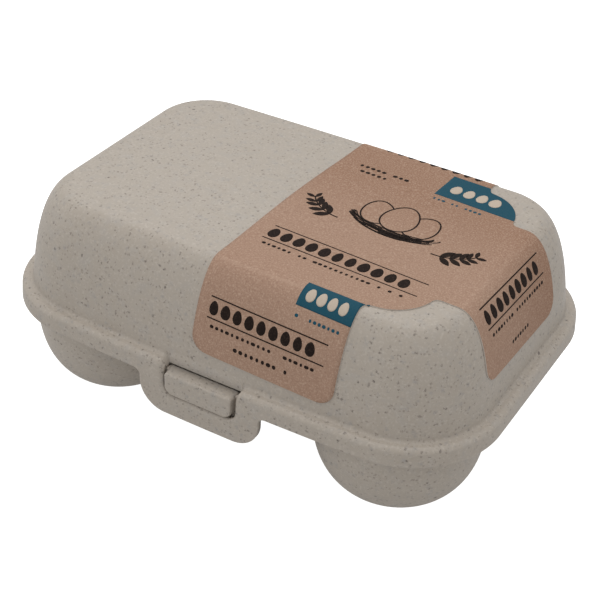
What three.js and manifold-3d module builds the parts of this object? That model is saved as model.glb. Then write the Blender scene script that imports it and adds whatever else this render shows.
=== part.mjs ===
// A shut egg box moulded in speckled plastic: a lid with a latch tab, a base with four
// egg cups whose catch block stands in the tab's window, and a paper label on the lid.
// Millimetres, +Z up, +X along the length, the latch at -Y. The origin is on the floor,
// under the middle of the box.
import * as THREE from 'three';
import { mergeVertices } from 'three/addons/utils/BufferGeometryUtils.js';
import Module from 'manifold-3d';

const wasm = await Module();
wasm.setup();

// ---- driving dimensions -------------------------------------------------------------
// The rim: a rounded rectangle whose corners are centred over the egg cups.
const HALF_LENGTH = 80;
const HALF_WIDTH = 54.2;
const SIDE_BOW = 1.05;        // how far each long side bows out at its middle
const CORNER_RADIUS = 29.5;
const CORNER_X = HALF_LENGTH - CORNER_RADIUS;
const CORNER_Y = HALF_WIDTH - CORNER_RADIUS;
const FRONT_Y = HALF_WIDTH + SIDE_BOW;

// The egg cups that the box stands on.
const CUP_DEPTH = 29.2;       // floor to the lower edge of the lid's skirt
const CUP_RADIUS = 25.3;
const CUP_X = 49.7;
const CUP_Y = 25.5;
const CUP_POWER = 2.75;       // exponent of the cup's rounded profile
const FOOT_RADIUS = 9;        // flat spot under each cup
const SKIRT_Z = CUP_DEPTH;

// The lid's hanging skirt and the narrow ledge round the foot of its wall.
const SKIRT_HEIGHT = 5.9;
const SKIRT_DRAFT = 0.3;
const WALL = 1.8;             // thickness of the moulding
const EDGE_RADIUS = 1.9;      // rounding between skirt and ledge
const LIP_RADIUS = 0.4;       // rounding of the skirt's lower edge
const LEDGE = 3.85;           // skirt face to wall foot
const FOOT_FILLET = 1.2;
const LEDGE_Z = SKIRT_Z + SKIRT_HEIGHT;

// The lid's wall: a leaning lower half, then a shoulder into the nearly flat top.
const LID_RISE = 31.1;
const WALL_DRAFT = 0.105;
const SHOULDER = 9.85;
const SHOULDER_POWER = 2.43;  // 2 would make the shoulder a quarter ellipse
const TOP_BOW = 0.33;         // share of the sides' bow that is left at the top
const CROWN = 1.0;            // how far the top rises towards its middle
const WALL_INSET = WALL_DRAFT * LID_RISE + SHOULDER;
const TOP_Z = LEDGE_Z + LID_RISE;

// The latch: a tab on the lid's skirt, a window in it, and the base's catch block.
const TAB = { left: -20.2, right: 20.4, drop: 12.1, corner: 8.5, neck: 2.0 };
const WINDOW = { left: -12.0, right: 12.8, low: -4.9, high: 9, corner: 3.2, back: 51.7 };
const BLOCK = { left: -11.2, right: 11.3, low: -4.6, high: 3.4, corner: 2.8, back: 52.0 };
const BLOCK_ROUNDING = 0.9;

// The base: a flange inside the skirt, flared cups, and a hinge strip at the back.
const GAP = 0.3;              // clearance between neighbouring pieces
const FLANGE_LOW = 1.0;       // above the skirt's lower edge
const FLANGE_HIGH = 2.6;
const FLANGE_INSET = WALL + SKIRT_DRAFT + GAP;
const FLANGE_EDGE_Y = HALF_WIDTH - FLANGE_INSET;
const CUP_FLARE = 1.2;        // rounding where a cup runs into the flange
const HINGE = { half: 24, low: -3.2, high: -0.35, corner: 1.4, depth: 6 };
const HINGE_REACH = FRONT_Y - FLANGE_EDGE_Y;
const HINGE_OVERLAP = 1;      // how deep the hinge's face runs into its web

// The tongue that carries the catch block and shuts the view through the window's gaps.
const TONGUE = { left: -14, right: 15, low: -6.5, high: FLANGE_HIGH, corner: 3 };
const TONGUE_BACK = 51.6;
const TONGUE_FRONT = FRONT_Y - FLANGE_INSET;

// The label: a top panel with three flaps, flat in its own (u, v) plane, then wrapped.
const LABEL_TURN = THREE.MathUtils.degToRad(-2.2);
const PAPER = 0.3;
const LABEL_LEFT = -2.3;
const SIDE_FLAP_RIGHT = 43.6;
const PANEL_CORNER = 16;      // radius of the top panel's two free corners
const PANEL_HALF = 38.4;
const SIDE_FLAP_END = 69;     // front and back flaps reach this far from the middle
const END_FLAP_HALF = 22.8;
const END_FLAP_END = 90.2;
const FLAP_CORNER = 5;

// Fineness of the curved faces.
const CORNER_STEPS = 8;
const SIDE_STEPS = 4;
const SHOULDER_STEPS = 10;
const EDGE_DEGREES = [0, 30, 60, 90];
const FILLET_DEGREES = [0, 45];
const TOP_RING_SCALES = [0.85, 0.6, 0.3];
const CUP_SIDES = 36;
const CUP_RINGS = 8;
const PANEL_ARC_SEGMENTS = 6;
const BEVEL_SEGMENTS = 2;
const LABEL_ROWS = 12;        // across the top panel
const LABEL_COLUMNS = 5;      // along the panel and the side flaps
const LABEL_ARC_COLUMNS = 6;  // along the panel's rounded corners
const LABEL_END_COLUMNS = 18;
const FOLD = { reach: 14, rows: 8, ease: 1.15 };   // the fine stretch past a side fold
const FLAP_ROWS = 6;
const WELD = 1e-4;            // points this close are one
const FLAT_WELD = 1e-3;

// ---- solids -------------------------------------------------------------------------
function indexedGeometry(points, faces) {
  const geometry = new THREE.BufferGeometry();
  geometry.setAttribute('position', new THREE.Float32BufferAttribute(points.flat(), 3));
  geometry.setIndex(faces.flat());
  return geometry;
}

function toSolid(geometry) {
  const bare = geometry.clone();
  bare.deleteAttribute('normal');
  bare.deleteAttribute('uv');
  const merged = mergeVertices(bare, WELD);
  const mesh = new wasm.Mesh({
    numProp: 3,
    vertProperties: new Float32Array(merged.attributes.position.array),
    triVerts: new Uint32Array(merged.index.array),
  });
  return new wasm.Manifold(mesh);
}

function toGeometry(solid) {
  const mesh = solid.getMesh();
  const geometry = new THREE.BufferGeometry();
  geometry.setAttribute('position', new THREE.BufferAttribute(mesh.vertProperties, 3));
  geometry.setIndex(new THREE.BufferAttribute(mesh.triVerts, 1));
  return geometry;
}

// Skins a stack of rings that all have the same number of points. The two ends are
// closed by fans to middle points on the Z axis, at heights that default to the rings'.
function loft(rings, firstZ = rings[0][0][2], lastZ = rings.at(-1)[0][2]) {
  const count = rings[0].length;
  const points = rings.flat();
  const faces = [];
  for (let level = 0; level < rings.length - 1; level++) {
    for (let i = 0; i < count; i++) {
      const a = level * count + i;
      const b = level * count + ((i + 1) % count);
      faces.push([a, b, b + count], [a, b + count, a + count]);
    }
  }
  const first = points.push([0, 0, firstZ]) - 1;
  const last = points.push([0, 0, lastZ]) - 1;
  const top = (rings.length - 1) * count;
  for (let i = 0; i < count; i++) {
    const next = (i + 1) % count;
    faces.push([first, next, i], [last, top + i, top + next]);
  }
  return indexedGeometry(points, faces);
}

// ---- the outline shared by lid and base ---------------------------------------------
function sideBow(x, z = 0) {
  const along = Math.min(1, Math.abs(x) / CORNER_X);
  const rise = THREE.MathUtils.clamp((z - LEDGE_Z) / LID_RISE, 0, 1);
  return SIDE_BOW * (1 - along * along) * (1 - (1 - TOP_BOW) * rise);
}

// One closed ring of the rim's outline, moved in by `inset`, at height z.
function outlineRing(inset, z) {
  const radius = CORNER_RADIUS - inset;
  const ring = [];
  const quarters = [[1, -1, -90], [1, 1, 0], [-1, 1, 90], [-1, -1, 180]];
  for (const [sideX, sideY, start] of quarters) {
    for (let i = 0; i <= CORNER_STEPS; i++) {
      const angle = THREE.MathUtils.degToRad(start + (90 * i) / CORNER_STEPS);
      const x = sideX * CORNER_X + radius * Math.cos(angle);
      const y = sideY * CORNER_Y + radius * Math.sin(angle);
      ring.push([x, y, z]);
    }
    if (sideX === sideY) ring.push(...longSide(sideY, radius, z));
  }
  return ring;
}

// The bowed stretch between two corners, its ends left out.
function longSide(sideY, radius, z) {
  const points = [];
  for (let i = 1; i < SIDE_STEPS; i++) {
    const x = sideY * CORNER_X * (1 - (2 * i) / SIDE_STEPS);
    points.push([x, sideY * (CORNER_Y + radius + sideBow(x, z)), z]);
  }
  return points;
}

function crownHeight(x, y) {
  const alongX = x / (HALF_LENGTH - LEDGE - WALL_INSET);
  const alongY = y / (HALF_WIDTH - LEDGE - WALL_INSET);
  return CROWN * Math.max(0, 1 - alongX ** 2) ** 2 * Math.max(0, 1 - alongY ** 2) ** 2;
}

// The lid's wall in section: x is the inset from the wall foot, y the height above it.
class WallCurve extends THREE.Curve {
  getPoint(t, target = new THREE.Vector2()) {
    const angle = (Math.min(t, 1) * Math.PI) / 2;
    const rise = LID_RISE * Math.sin(angle) ** (2 / SHOULDER_POWER);
    const inset = SHOULDER * (1 - Math.max(0, Math.cos(angle)) ** (2 / SHOULDER_POWER));
    return target.set(WALL_DRAFT * rise + inset, rise);
  }
}
const wallCurve = new WallCurve();
const wallLength = wallCurve.getLength();

// ---- lid ----------------------------------------------------------------------------
// Section of the rim from its inside corner, round the lip, to the foot of the wall.
function rimSection() {
  const section = [[WALL + SKIRT_DRAFT, LEDGE_Z - WALL], [WALL, SKIRT_Z + LIP_RADIUS]];
  section.push([WALL - LIP_RADIUS, SKIRT_Z], [LIP_RADIUS, SKIRT_Z]);
  section.push([0, SKIRT_Z + LIP_RADIUS]);
  const centreZ = LEDGE_Z - EDGE_RADIUS;
  for (const degrees of EDGE_DEGREES) {
    const angle = THREE.MathUtils.degToRad(degrees);
    const inset = SKIRT_DRAFT + EDGE_RADIUS * (1 - Math.cos(angle));
    section.push([inset, centreZ + EDGE_RADIUS * Math.sin(angle)]);
  }
  for (const degrees of FILLET_DEGREES) {
    const angle = THREE.MathUtils.degToRad(degrees);
    const inset = LEDGE - FOOT_FILLET * (1 - Math.sin(angle));
    section.push([inset, LEDGE_Z + FOOT_FILLET * (1 - Math.cos(angle))]);
  }
  return section;
}

function wallSection() {
  const footShare = (FOOT_FILLET / LID_RISE) ** (SHOULDER_POWER / 2);
  const start = Math.asin(footShare) / (Math.PI / 2);
  const section = [];
  for (let i = 0; i <= SHOULDER_STEPS; i++) {
    const point = wallCurve.getPoint(start + ((1 - start) * i) / SHOULDER_STEPS);
    section.push([LEDGE + point.x, LEDGE_Z + point.y]);
  }
  return section;
}

function topRings(shoulderRing) {
  return TOP_RING_SCALES.map((scale) => shoulderRing.map(([x, y]) => {
    const point = [x * scale, y * scale];
    return [...point, TOP_Z + crownHeight(...point)];
  }));
}

// A rounded rectangle in the XZ plane, heights counted from the skirt's lower edge.
function frontPanel({ left, right, low, high, corner }) {
  const bottom = SKIRT_Z + low;
  const shape = new THREE.Shape();
  shape.moveTo(right, SKIRT_Z + high);
  shape.lineTo(left, SKIRT_Z + high);
  shape.lineTo(left, bottom + corner);
  shape.absarc(left + corner, bottom + corner, corner, Math.PI, 1.5 * Math.PI);
  shape.absarc(right - corner, bottom + corner, corner, 1.5 * Math.PI, 2 * Math.PI);
  return shape;
}

function tabShape() {
  const { left, right, drop, corner, neck } = TAB;
  const bottom = SKIRT_Z - drop;
  const inSkirt = SKIRT_Z + SKIRT_HEIGHT - EDGE_RADIUS;
  const shape = new THREE.Shape();
  shape.moveTo(right + neck, inSkirt);
  shape.lineTo(left - neck, inSkirt);
  shape.absarc(left - neck, SKIRT_Z - neck, neck, Math.PI / 2, 0, true);
  shape.absarc(left + corner, bottom + corner, corner, Math.PI, 1.5 * Math.PI);
  shape.absarc(right - corner, bottom + corner, corner, 1.5 * Math.PI, 2 * Math.PI);
  shape.absarc(right + neck, SKIRT_Z - neck, neck, Math.PI, Math.PI / 2, true);
  return shape;
}

// Extrudes an XZ shape towards +Y, its front face at y.
function extrudeBack(shape, y, depth, rounding = 0) {
  const geometry = new THREE.ExtrudeGeometry(shape, {
    depth: depth - 2 * rounding,
    curveSegments: PANEL_ARC_SEGMENTS,
    bevelEnabled: rounding > 0,
    bevelSize: rounding,
    bevelOffset: -rounding,
    bevelThickness: rounding,
    bevelSegments: BEVEL_SEGMENTS,
  });
  geometry.rotateX(Math.PI / 2);
  geometry.translate(0, y + depth - rounding, 0);
  return geometry;
}

function makeLid() {
  const section = [...rimSection(), ...wallSection()];
  const rings = section.map(([inset, z]) => outlineRing(inset, z));
  const allRings = [...rings, ...topRings(rings.at(-1))];
  const shell = toSolid(loft(allRings, LEDGE_Z - WALL, TOP_Z + CROWN));
  const tab = toSolid(extrudeBack(tabShape(), -FRONT_Y, WALL));
  const windowFront = -FRONT_Y - WALL;
  const opening = extrudeBack(frontPanel(WINDOW), windowFront, -windowFront - WINDOW.back);
  return toGeometry(shell.add(tab).subtract(toSolid(opening)));
}

// ---- base ---------------------------------------------------------------------------
// A cup's radius at a height over the floor; the rounded profile stands on a flat foot.
function cupRadius(z) {
  const depth = 1 - z / CUP_DEPTH;
  return CUP_RADIUS * (1 - depth ** CUP_POWER) ** (1 / CUP_POWER);
}

function makeCup() {
  const profile = [new THREE.Vector2(0, 0), new THREE.Vector2(FOOT_RADIUS, 0)];
  const start = Math.asin((FOOT_RADIUS / CUP_RADIUS) ** (CUP_POWER / 2));
  for (let i = 1; i <= CUP_RINGS; i++) {
    const angle = start + ((Math.PI / 2 - start) * i) / CUP_RINGS;
    const depth = Math.cos(angle) ** (2 / CUP_POWER);
    const z = CUP_DEPTH * (1 - depth);
    profile.push(new THREE.Vector2(cupRadius(z), z));
  }
  const flangeZ = SKIRT_Z + FLANGE_LOW;
  profile.push(new THREE.Vector2(CUP_RADIUS + CUP_FLARE, flangeZ));
  profile.push(new THREE.Vector2(CUP_RADIUS + CUP_FLARE, flangeZ + GAP));
  profile.push(new THREE.Vector2(0, flangeZ + GAP));
  const geometry = new THREE.LatheGeometry(profile, CUP_SIDES);
  geometry.rotateX(Math.PI / 2);
  return geometry;
}

function hingeStrip() {
  const { half, low, high, corner, depth } = HINGE;
  const strip = { left: -half, right: half, low, high: FLANGE_HIGH, corner };
  const web = toSolid(extrudeBack(frontPanel(strip), FLANGE_EDGE_Y - depth, depth));
  const faceShape = frontPanel({ ...strip, high });
  const faceStart = FLANGE_EDGE_Y - HINGE_OVERLAP;
  const face = extrudeBack(faceShape, faceStart, HINGE_REACH + HINGE_OVERLAP);
  return web.add(toSolid(face));
}

function catchBlock() {
  const depth = FRONT_Y - BLOCK.back;
  const block = toSolid(extrudeBack(frontPanel(BLOCK), -FRONT_Y, depth, BLOCK_ROUNDING));
  const tongue = extrudeBack(frontPanel(TONGUE), -TONGUE_FRONT, TONGUE_FRONT - TONGUE_BACK);
  return block.add(toSolid(tongue));
}

function makeBase() {
  const flangeRings = [FLANGE_LOW, FLANGE_HIGH].map((height) => (
    outlineRing(FLANGE_INSET, SKIRT_Z + height)
  ));
  let base = toSolid(loft(flangeRings));
  const cup = makeCup();
  for (const sideX of [-1, 1]) {
    for (const sideY of [-1, 1]) {
      const placed = cup.clone().translate(sideX * CUP_X, sideY * CUP_Y, 0);
      base = base.add(toSolid(placed));
    }
  }
  return toGeometry(base.add(catchBlock()).add(hingeStrip()));
}

// ---- label --------------------------------------------------------------------------
// Puts a point of the unrolled label, turned as it is stuck on, `lift` above the lid.
function onLid(u, v, lift) {
  const p = u * Math.cos(LABEL_TURN) - v * Math.sin(LABEL_TURN);
  const q = u * Math.sin(LABEL_TURN) + v * Math.cos(LABEL_TURN);
  const endStart = HALF_LENGTH - LEDGE - WALL_INSET;
  const sideStart = HALF_WIDTH + sideBow(p, TOP_Z) - LEDGE - WALL_INSET;
  if (Math.abs(p) > endStart) {
    const [reach, z] = downWall(Math.abs(p) - endStart, endStart, lift);
    return [Math.sign(p) * reach, q, z];
  }
  if (Math.abs(q) > sideStart) {
    const [reach, z] = downWall(Math.abs(q) - sideStart, sideStart, lift);
    return [p, Math.sign(q) * (reach + sideBow(p, z) - sideBow(p, TOP_Z)), z];
  }
  return [p, q, TOP_Z + crownHeight(p, q) + lift];
}

// Distance out and height of a point `run` down the wall from the edge of the top.
function downWall(run, topEdge, lift) {
  const along = Math.max(0, 1 - run / wallLength);
  const point = wallCurve.getPointAt(along);
  const tangent = wallCurve.getTangentAt(along);
  const reach = topEdge + WALL_INSET - point.x + tangent.y * lift;
  return [reach, LEDGE_Z + point.y + tangent.x * lift];
}

// Half the label's height in v at a distance u along it.
function panelHalf(u) {
  const past = u - SIDE_FLAP_RIGHT;
  if (past <= 0) return PANEL_HALF;
  if (past >= PANEL_CORNER) return END_FLAP_HALF;
  const corner = Math.sqrt(PANEL_CORNER ** 2 - past ** 2);
  return Math.max(END_FLAP_HALF, PANEL_HALF - PANEL_CORNER + corner);
}

// How far a flap's end is rounded off at `before` millimetres before that end.
function roundOff(before) {
  const inside = Math.max(0, FLAP_CORNER - before);
  return FLAP_CORNER - Math.sqrt(FLAP_CORNER ** 2 - inside ** 2);
}

function spread(from, to, steps, ease = 1) {
  return Array.from({ length: steps + 1 }, (_, i) => from + (to - from) * (i / steps) ** ease);
}

function grid(columns, rows, place) {
  const points = [];
  const faces = [];
  columns.forEach((column, i) => rows.forEach((row, j) => {
    points.push([...place(column, row), 0]);
    if (i === 0 || j === 0) return;
    const here = i * rows.length + j;
    const left = here - rows.length;
    faces.push([left - 1, here - 1, here], [left - 1, here, left]);
  }));
  return { points, faces };
}

function labelPatches() {
  const across = spread(-1, 1, LABEL_ROWS).map((t) => Math.sin((t * Math.PI) / 2));
  const sideColumns = spread(0, 1, LABEL_COLUMNS);
  const arcColumns = spread(0, Math.PI / 2, LABEL_ARC_COLUMNS).map((angle) => (
    SIDE_FLAP_RIGHT + PANEL_CORNER * Math.sin(angle)
  ));
  const endColumns = spread(arcColumns.at(-1), END_FLAP_END, LABEL_END_COLUMNS);
  const width = SIDE_FLAP_RIGHT - LABEL_LEFT;
  const panel = grid(sideColumns, across, (s, t) => [LABEL_LEFT + s * width, t * PANEL_HALF]);
  const arc = grid(arcColumns, across, (u, t) => [u, t * panelHalf(u)]);
  const end = grid(endColumns, across, (u, t) => [
    u, t * (END_FLAP_HALF - roundOff(END_FLAP_END - u)),
  ]);
  const fine = spread(PANEL_HALF, PANEL_HALF + FOLD.reach, FOLD.rows, FOLD.ease);
  const coarse = spread(fine.at(-1), SIDE_FLAP_END, FLAP_ROWS).slice(1);
  const flaps = [-1, 1].map((side) => {
    const rows = [...fine, ...coarse].map((v) => side * v).sort((a, b) => a - b);
    return grid(sideColumns, rows, (s, v) => {
      const off = roundOff(SIDE_FLAP_END - Math.abs(v));
      return [LABEL_LEFT + off + s * (width - 2 * off), v];
    });
  });
  return [panel, arc, end, ...flaps];
}

// Joins the flat patches along the points that they share.
function joinPatches(patches) {
  const points = [];
  const faces = [];
  for (const patch of patches) {
    const offset = points.length;
    points.push(...patch.points);
    faces.push(...patch.faces.map((face) => face.map((i) => i + offset)));
  }
  return mergeVertices(indexedGeometry(points, faces), FLAT_WELD);
}

function makeLabel() {
  const flat = joinPatches(labelPatches());
  const position = flat.attributes.position;
  const count = position.count;
  const layer = (lift) => Array.from({ length: count }, (_, i) => (
    onLid(position.getX(i), position.getY(i), lift)
  ));
  const faces = [];
  const edges = new Map();
  for (let i = 0; i < flat.index.count; i += 3) {
    const face = [0, 1, 2].map((k) => flat.index.getX(i + k));
    faces.push(face, face.map((k) => k + count).reverse());
    face.forEach((from, k) => {
      const to = face[(k + 1) % 3];
      edges.set(`${from}_${to}`, [from, to]);
    });
  }
  for (const [from, to] of edges.values()) {
    if (edges.has(`${to}_${from}`)) continue;
    faces.push([to, from, from + count], [to, from + count, to + count]);
  }
  return indexedGeometry([...layer(GAP + PAPER), ...layer(GAP)], faces);
}

// ---- scene graph --------------------------------------------------------------------
const speckledPlastic = new THREE.MeshStandardMaterial({
  color: 0xb3aa9c, roughness: 0.5, metalness: 0,
});
const basePlastic = speckledPlastic.clone();
const kraftPaper = new THREE.MeshStandardMaterial({
  color: 0xa98a72, roughness: 0.85, metalness: 0,
});

function namedMesh(name, geometry, material) {
  const mesh = new THREE.Mesh(geometry, material);
  mesh.name = name;
  return mesh;
}

const eggBox = new THREE.Group();
eggBox.add(namedMesh('lid', makeLid(), speckledPlastic));
eggBox.add(namedMesh('base', makeBase(), basePlastic));
eggBox.add(namedMesh('label', makeLabel(), kraftPaper));

export default eggBox;
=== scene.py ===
# %% [markdown]
# # A shut egg box in speckled plastic
# The box is a picnic egg box: a lid with a rounded rim and a latch tab, a base whose egg
# cups are its feet, and a brown paper label stuck over one end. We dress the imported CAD
# model with finely rounded meshes of the same form and with procedural finishes.

import math

import bmesh
import bpy
import numpy as np
from mathutils import Matrix, Vector
from mathutils.geometry import delaunay_2d_cdt


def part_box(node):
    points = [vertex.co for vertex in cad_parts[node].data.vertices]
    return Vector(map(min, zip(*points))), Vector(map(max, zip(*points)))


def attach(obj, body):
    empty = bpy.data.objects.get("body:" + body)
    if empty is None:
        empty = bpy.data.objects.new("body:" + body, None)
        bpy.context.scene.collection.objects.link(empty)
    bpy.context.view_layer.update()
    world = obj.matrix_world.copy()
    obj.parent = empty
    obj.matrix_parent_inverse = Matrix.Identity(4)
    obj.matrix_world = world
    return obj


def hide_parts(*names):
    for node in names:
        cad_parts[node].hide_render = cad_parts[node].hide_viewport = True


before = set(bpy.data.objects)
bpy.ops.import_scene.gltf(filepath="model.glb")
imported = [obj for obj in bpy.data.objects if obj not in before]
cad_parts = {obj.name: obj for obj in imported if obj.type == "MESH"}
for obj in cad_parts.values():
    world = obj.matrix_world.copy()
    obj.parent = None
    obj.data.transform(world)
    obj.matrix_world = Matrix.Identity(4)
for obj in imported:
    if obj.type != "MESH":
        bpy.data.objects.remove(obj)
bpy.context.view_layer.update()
print("CAD nodes:", sorted(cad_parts))

# %% [markdown]
# ## Sizes
# Lengths are written in millimetres and become metres when a mesh is made. The overall
# sizes are read from the frame, so this dressing can't drift from the CAD model. The rest
# are the small dimensions that the frame's boxes don't tell, such as roundings.

# %% Sizes of the box
MM = 0.001
lid_low, lid_high = (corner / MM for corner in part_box("lid"))
SIDE_BOW = 1.05
CROWN = 1.0
TAB = {"left": -20.2, "right": 20.4, "drop": 12.1, "corner": 8.5, "neck": 2.0}
HALF_LENGTH = lid_high.x
FRONT_Y = lid_high.y
HALF_WIDTH = FRONT_Y - SIDE_BOW
CORNER_RADIUS = 29.5
CORNER_X = HALF_LENGTH - CORNER_RADIUS
CORNER_Y = HALF_WIDTH - CORNER_RADIUS
SKIRT_Z = lid_low.z + TAB["drop"]
SKIRT_HEIGHT = 5.9
LEDGE_Z = SKIRT_Z + SKIRT_HEIGHT
TOP_Z = lid_high.z - CROWN
LID_RISE = TOP_Z - LEDGE_Z
print(f"rim {2 * HALF_LENGTH:.1f} x {2 * FRONT_Y:.1f} mm, lid rises {LID_RISE:.1f} mm")

# %% Sizes of the rim and the wall in section
WALL = 1.8
WALL_END = SKIRT_Z + 3.70    # over the catch block the wall goes on down to here
SKIRT_DRAFT = 0.3
EDGE_RADIUS = 1.9
LEDGE = 3.85
FOOT_FILLET = 1.2
ROLL = 0.45              # rounding of every cut edge of the lid
WALL_DRAFT = 0.105
SHOULDER = 9.85
SHOULDER_POWER = 2.43    # 2 would make the shoulder a quarter ellipse
TOP_BOW = 0.33           # share of the sides' bow that is left at the top
WALL_INSET = WALL_DRAFT * LID_RISE + SHOULDER
print(f"the flat top starts {LEDGE + WALL_INSET:.1f} mm in from the rim")

# %% [markdown]
# ## Small helpers
# Every piece ends as one mesh object that sits at the origin. Points come in millimetres.
# A flat sheet, such as paper or print, becomes a thin closed solid: a top layer, a bottom
# layer and a strip round every open edge.

# %% Mesh helpers
def mesh_object(name, points, faces):
    """A mesh object made from points in millimetres."""
    mesh = bpy.data.meshes.new(name)
    mesh.from_pydata((np.asarray(points, float) * MM).tolist(), [], faces)
    mesh.update()
    piece = bpy.data.objects.new(name, mesh)
    bpy.context.scene.collection.objects.link(piece)
    return piece


def tidy_mesh(piece, weld=0.004):
    """Welds doubles (in mm), points every face outwards and smooths the shading."""
    work = bmesh.new()
    work.from_mesh(piece.data)
    bmesh.ops.remove_doubles(work, verts=work.verts, dist=weld * MM)
    bmesh.ops.dissolve_degenerate(work, edges=work.edges, dist=1e-7)
    bmesh.ops.recalc_face_normals(work, faces=work.faces)
    open_edges = sum(not edge.is_manifold for edge in work.edges)
    work.to_mesh(piece.data)
    work.free()
    piece.data.shade_smooth()
    print(f"{piece.name}: {len(piece.data.polygons)} faces, {open_edges} open edges")


def open_rim(faces):
    """The directed edges that only one face of a flat sheet uses."""
    used = {(face[i - 1], face[i]) for face in faces for i in range(len(face))}
    return [edge for edge in used if (edge[1], edge[0]) not in used]


def thin_solid(top, bottom, faces):
    """Joins two layers of the same sheet into one closed solid."""
    count = len(top)
    solid = [tuple(face) for face in faces]
    solid += [tuple(i + count for i in reversed(face)) for face in faces]
    solid += [(b, a, a + count, b + count) for a, b in open_rim(faces)]
    return np.vstack([top, bottom]), solid

# %% [markdown]
# ## The rim's outline
# Seen from above, the rim is a rounded rectangle whose corners are centred over the egg
# cups, and whose long sides bow out by a millimetre. It could be drawn as a curve by hand,
# but a list of stations worked out by a rule lets every part of the box share it.

# %% Outline stations
PATCH_X = 26.0           # the latch stretch of the front side reaches this far each way
WINDOW = {"left": -12.0, "right": 12.8, "drop": 4.9, "corner": 3.2}


def side_bow(x, z=0):
    """How far a long side bows out; less so towards the top."""
    along = np.clip(np.abs(x) / CORNER_X, 0, 1)
    rise = np.clip((z - LEDGE_Z) / LID_RISE, 0, 1)
    return SIDE_BOW * (1 - along**2) * (1 - (1 - TOP_BOW) * rise)


def latch_stations():
    """Stations every millimetre, two of them moved onto the window's sides."""
    xs = np.linspace(-PATCH_X, PATCH_X, 53)
    for side in (WINDOW["left"], WINDOW["right"]):
        xs[np.argmin(np.abs(xs - side))] = side
    return xs


def front_stations():
    outer = np.linspace(PATCH_X, CORNER_X, 14)
    return np.concatenate([-outer[::-1], latch_stations()[1:-1], outer])


def rim_outline(corner_steps=40):
    """Points of the rim's outer edge, counter-clockwise from the front left."""
    xs = front_stations()
    front = np.column_stack([xs, -(HALF_WIDTH + side_bow(xs))])
    angles = np.linspace(-math.pi / 2, 0, corner_steps + 1)[1:]
    corner = np.column_stack([np.cos(angles), np.sin(angles)]) * CORNER_RADIUS
    corner += (CORNER_X, -CORNER_Y)
    side_y = np.linspace(-CORNER_Y, CORNER_Y, 26)[1:]
    side = np.column_stack([np.full(len(side_y), HALF_LENGTH), side_y])
    back_corner = (corner * (1, -1))[::-1][1:]
    half = np.vstack([front, corner, side, back_corner])
    return np.vstack([half, -half])[:-1]


outline = rim_outline()
print(len(outline), "stations round the rim")

# %% [markdown]
# ## The rim and the wall in section
# A section is a list of (inset, height) pairs: how far in from the rim's outline, and how
# high above the floor. The wall follows a quarter of a superellipse with some draft, which
# gives the leaning foot, the shoulder and the fairly crisp edge of the top.

# %% Section of the wall
def arc(steps):
    return np.linspace(0, math.pi / 2, steps + 1)


def wall_curve(angles):
    """Inset from the wall's foot and rise above the ledge, from upright to level."""
    power = 2 / SHOULDER_POWER
    rise = LID_RISE * np.sin(angles) ** power
    return WALL_DRAFT * rise + SHOULDER * (1 - np.clip(np.cos(angles), 0, 1) ** power), rise


def wall_section(steps=56):
    """From the edge of the flat top down to the fillet at the wall's foot."""
    start = math.asin((FOOT_FILLET / LID_RISE) ** (SHOULDER_POWER / 2))
    inset, rise = wall_curve(np.linspace(math.pi / 2, start, steps))
    return np.column_stack([LEDGE + inset, LEDGE_Z + rise])


WALL_ROWS = 3            # the wall's lowest rows belong to the rim, for the latch stretch


def rim_section():
    """From low on the wall, over the ledge and the rounded edge, to the skirt's end."""
    fillet = np.column_stack([
        LEDGE - FOOT_FILLET + FOOT_FILLET * np.cos(arc(8)),
        LEDGE_Z + FOOT_FILLET * (1 - np.sin(arc(8))),
    ])
    edge = np.column_stack([
        SKIRT_DRAFT + EDGE_RADIUS * (1 - np.sin(arc(12))),
        LEDGE_Z - EDGE_RADIUS * (1 - np.cos(arc(12))),
    ])
    before_end = np.array([2.4, 1.2, ROLL, 0.3, 0.16, 0.07, 0.02, 0])
    low = edge[-1, 1] - SKIRT_Z
    face = np.column_stack([SKIRT_DRAFT * before_end / low, SKIRT_Z + before_end])
    return np.vstack([wall_section()[-1 - WALL_ROWS:-1], fillet, edge, face])


rim = rim_section()
rim_run = np.concatenate([[0], np.cumsum(np.hypot(*np.diff(rim, axis=0).T))])
WALL_FOOT = rim_run[WALL_ROWS]
LEDGE_START = rim_run[WALL_ROWS + 8]
FACE_START = rim_run[WALL_ROWS + 9 + 12]
SKIRT_END = rim_run[-1]
print(f"the rim's section is {SKIRT_END:.1f} mm long")

# %% [markdown]
# ## The rim as a rolled-up strip
# The latch needs a tab below the skirt and a window that runs over the rounded edge. Cutting
# those with booleans leaves sharp, ragged edges. Instead the rim is thought of as a flat
# strip, with x along the box and a run down its section, in which tab and window are plain
# outlines. The strip is then rolled over the section, and close to every cut edge the
# surface dips by a quarter circle, which rounds that edge off.

# %% Where the surface of the strip runs
def roll_dip(distance, radius=ROLL):
    """How far the surface dips at a distance from a cut edge rounded by a radius."""
    within = np.clip(radius - distance, 0, radius)
    return radius - np.sqrt(radius**2 - within**2)


def section_at(run):
    """Inset, height and outward slope of the rim's section at a run; flat below its end."""
    inset = np.interp(run, rim_run, rim[:, 0])
    height = np.interp(run, rim_run, rim[:, 1]) - np.clip(run - SKIRT_END, 0, None)
    step = np.minimum(0.05, 0.5 * run + 0.001)
    before = np.interp(run - step, rim_run, rim[:, 0]), np.interp(run - step, rim_run, rim[:, 1])
    after = np.interp(run + step, rim_run, rim[:, 0]), np.interp(run + step, rim_run, rim[:, 1])
    out, up = before[1] - after[1], after[0] - before[0]
    flat = run > FACE_START
    out, up = np.where(flat, 1.0, out), np.where(flat, 0.0, -up)
    length = np.hypot(out, up)
    return inset, height, out / length, up / length


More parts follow.
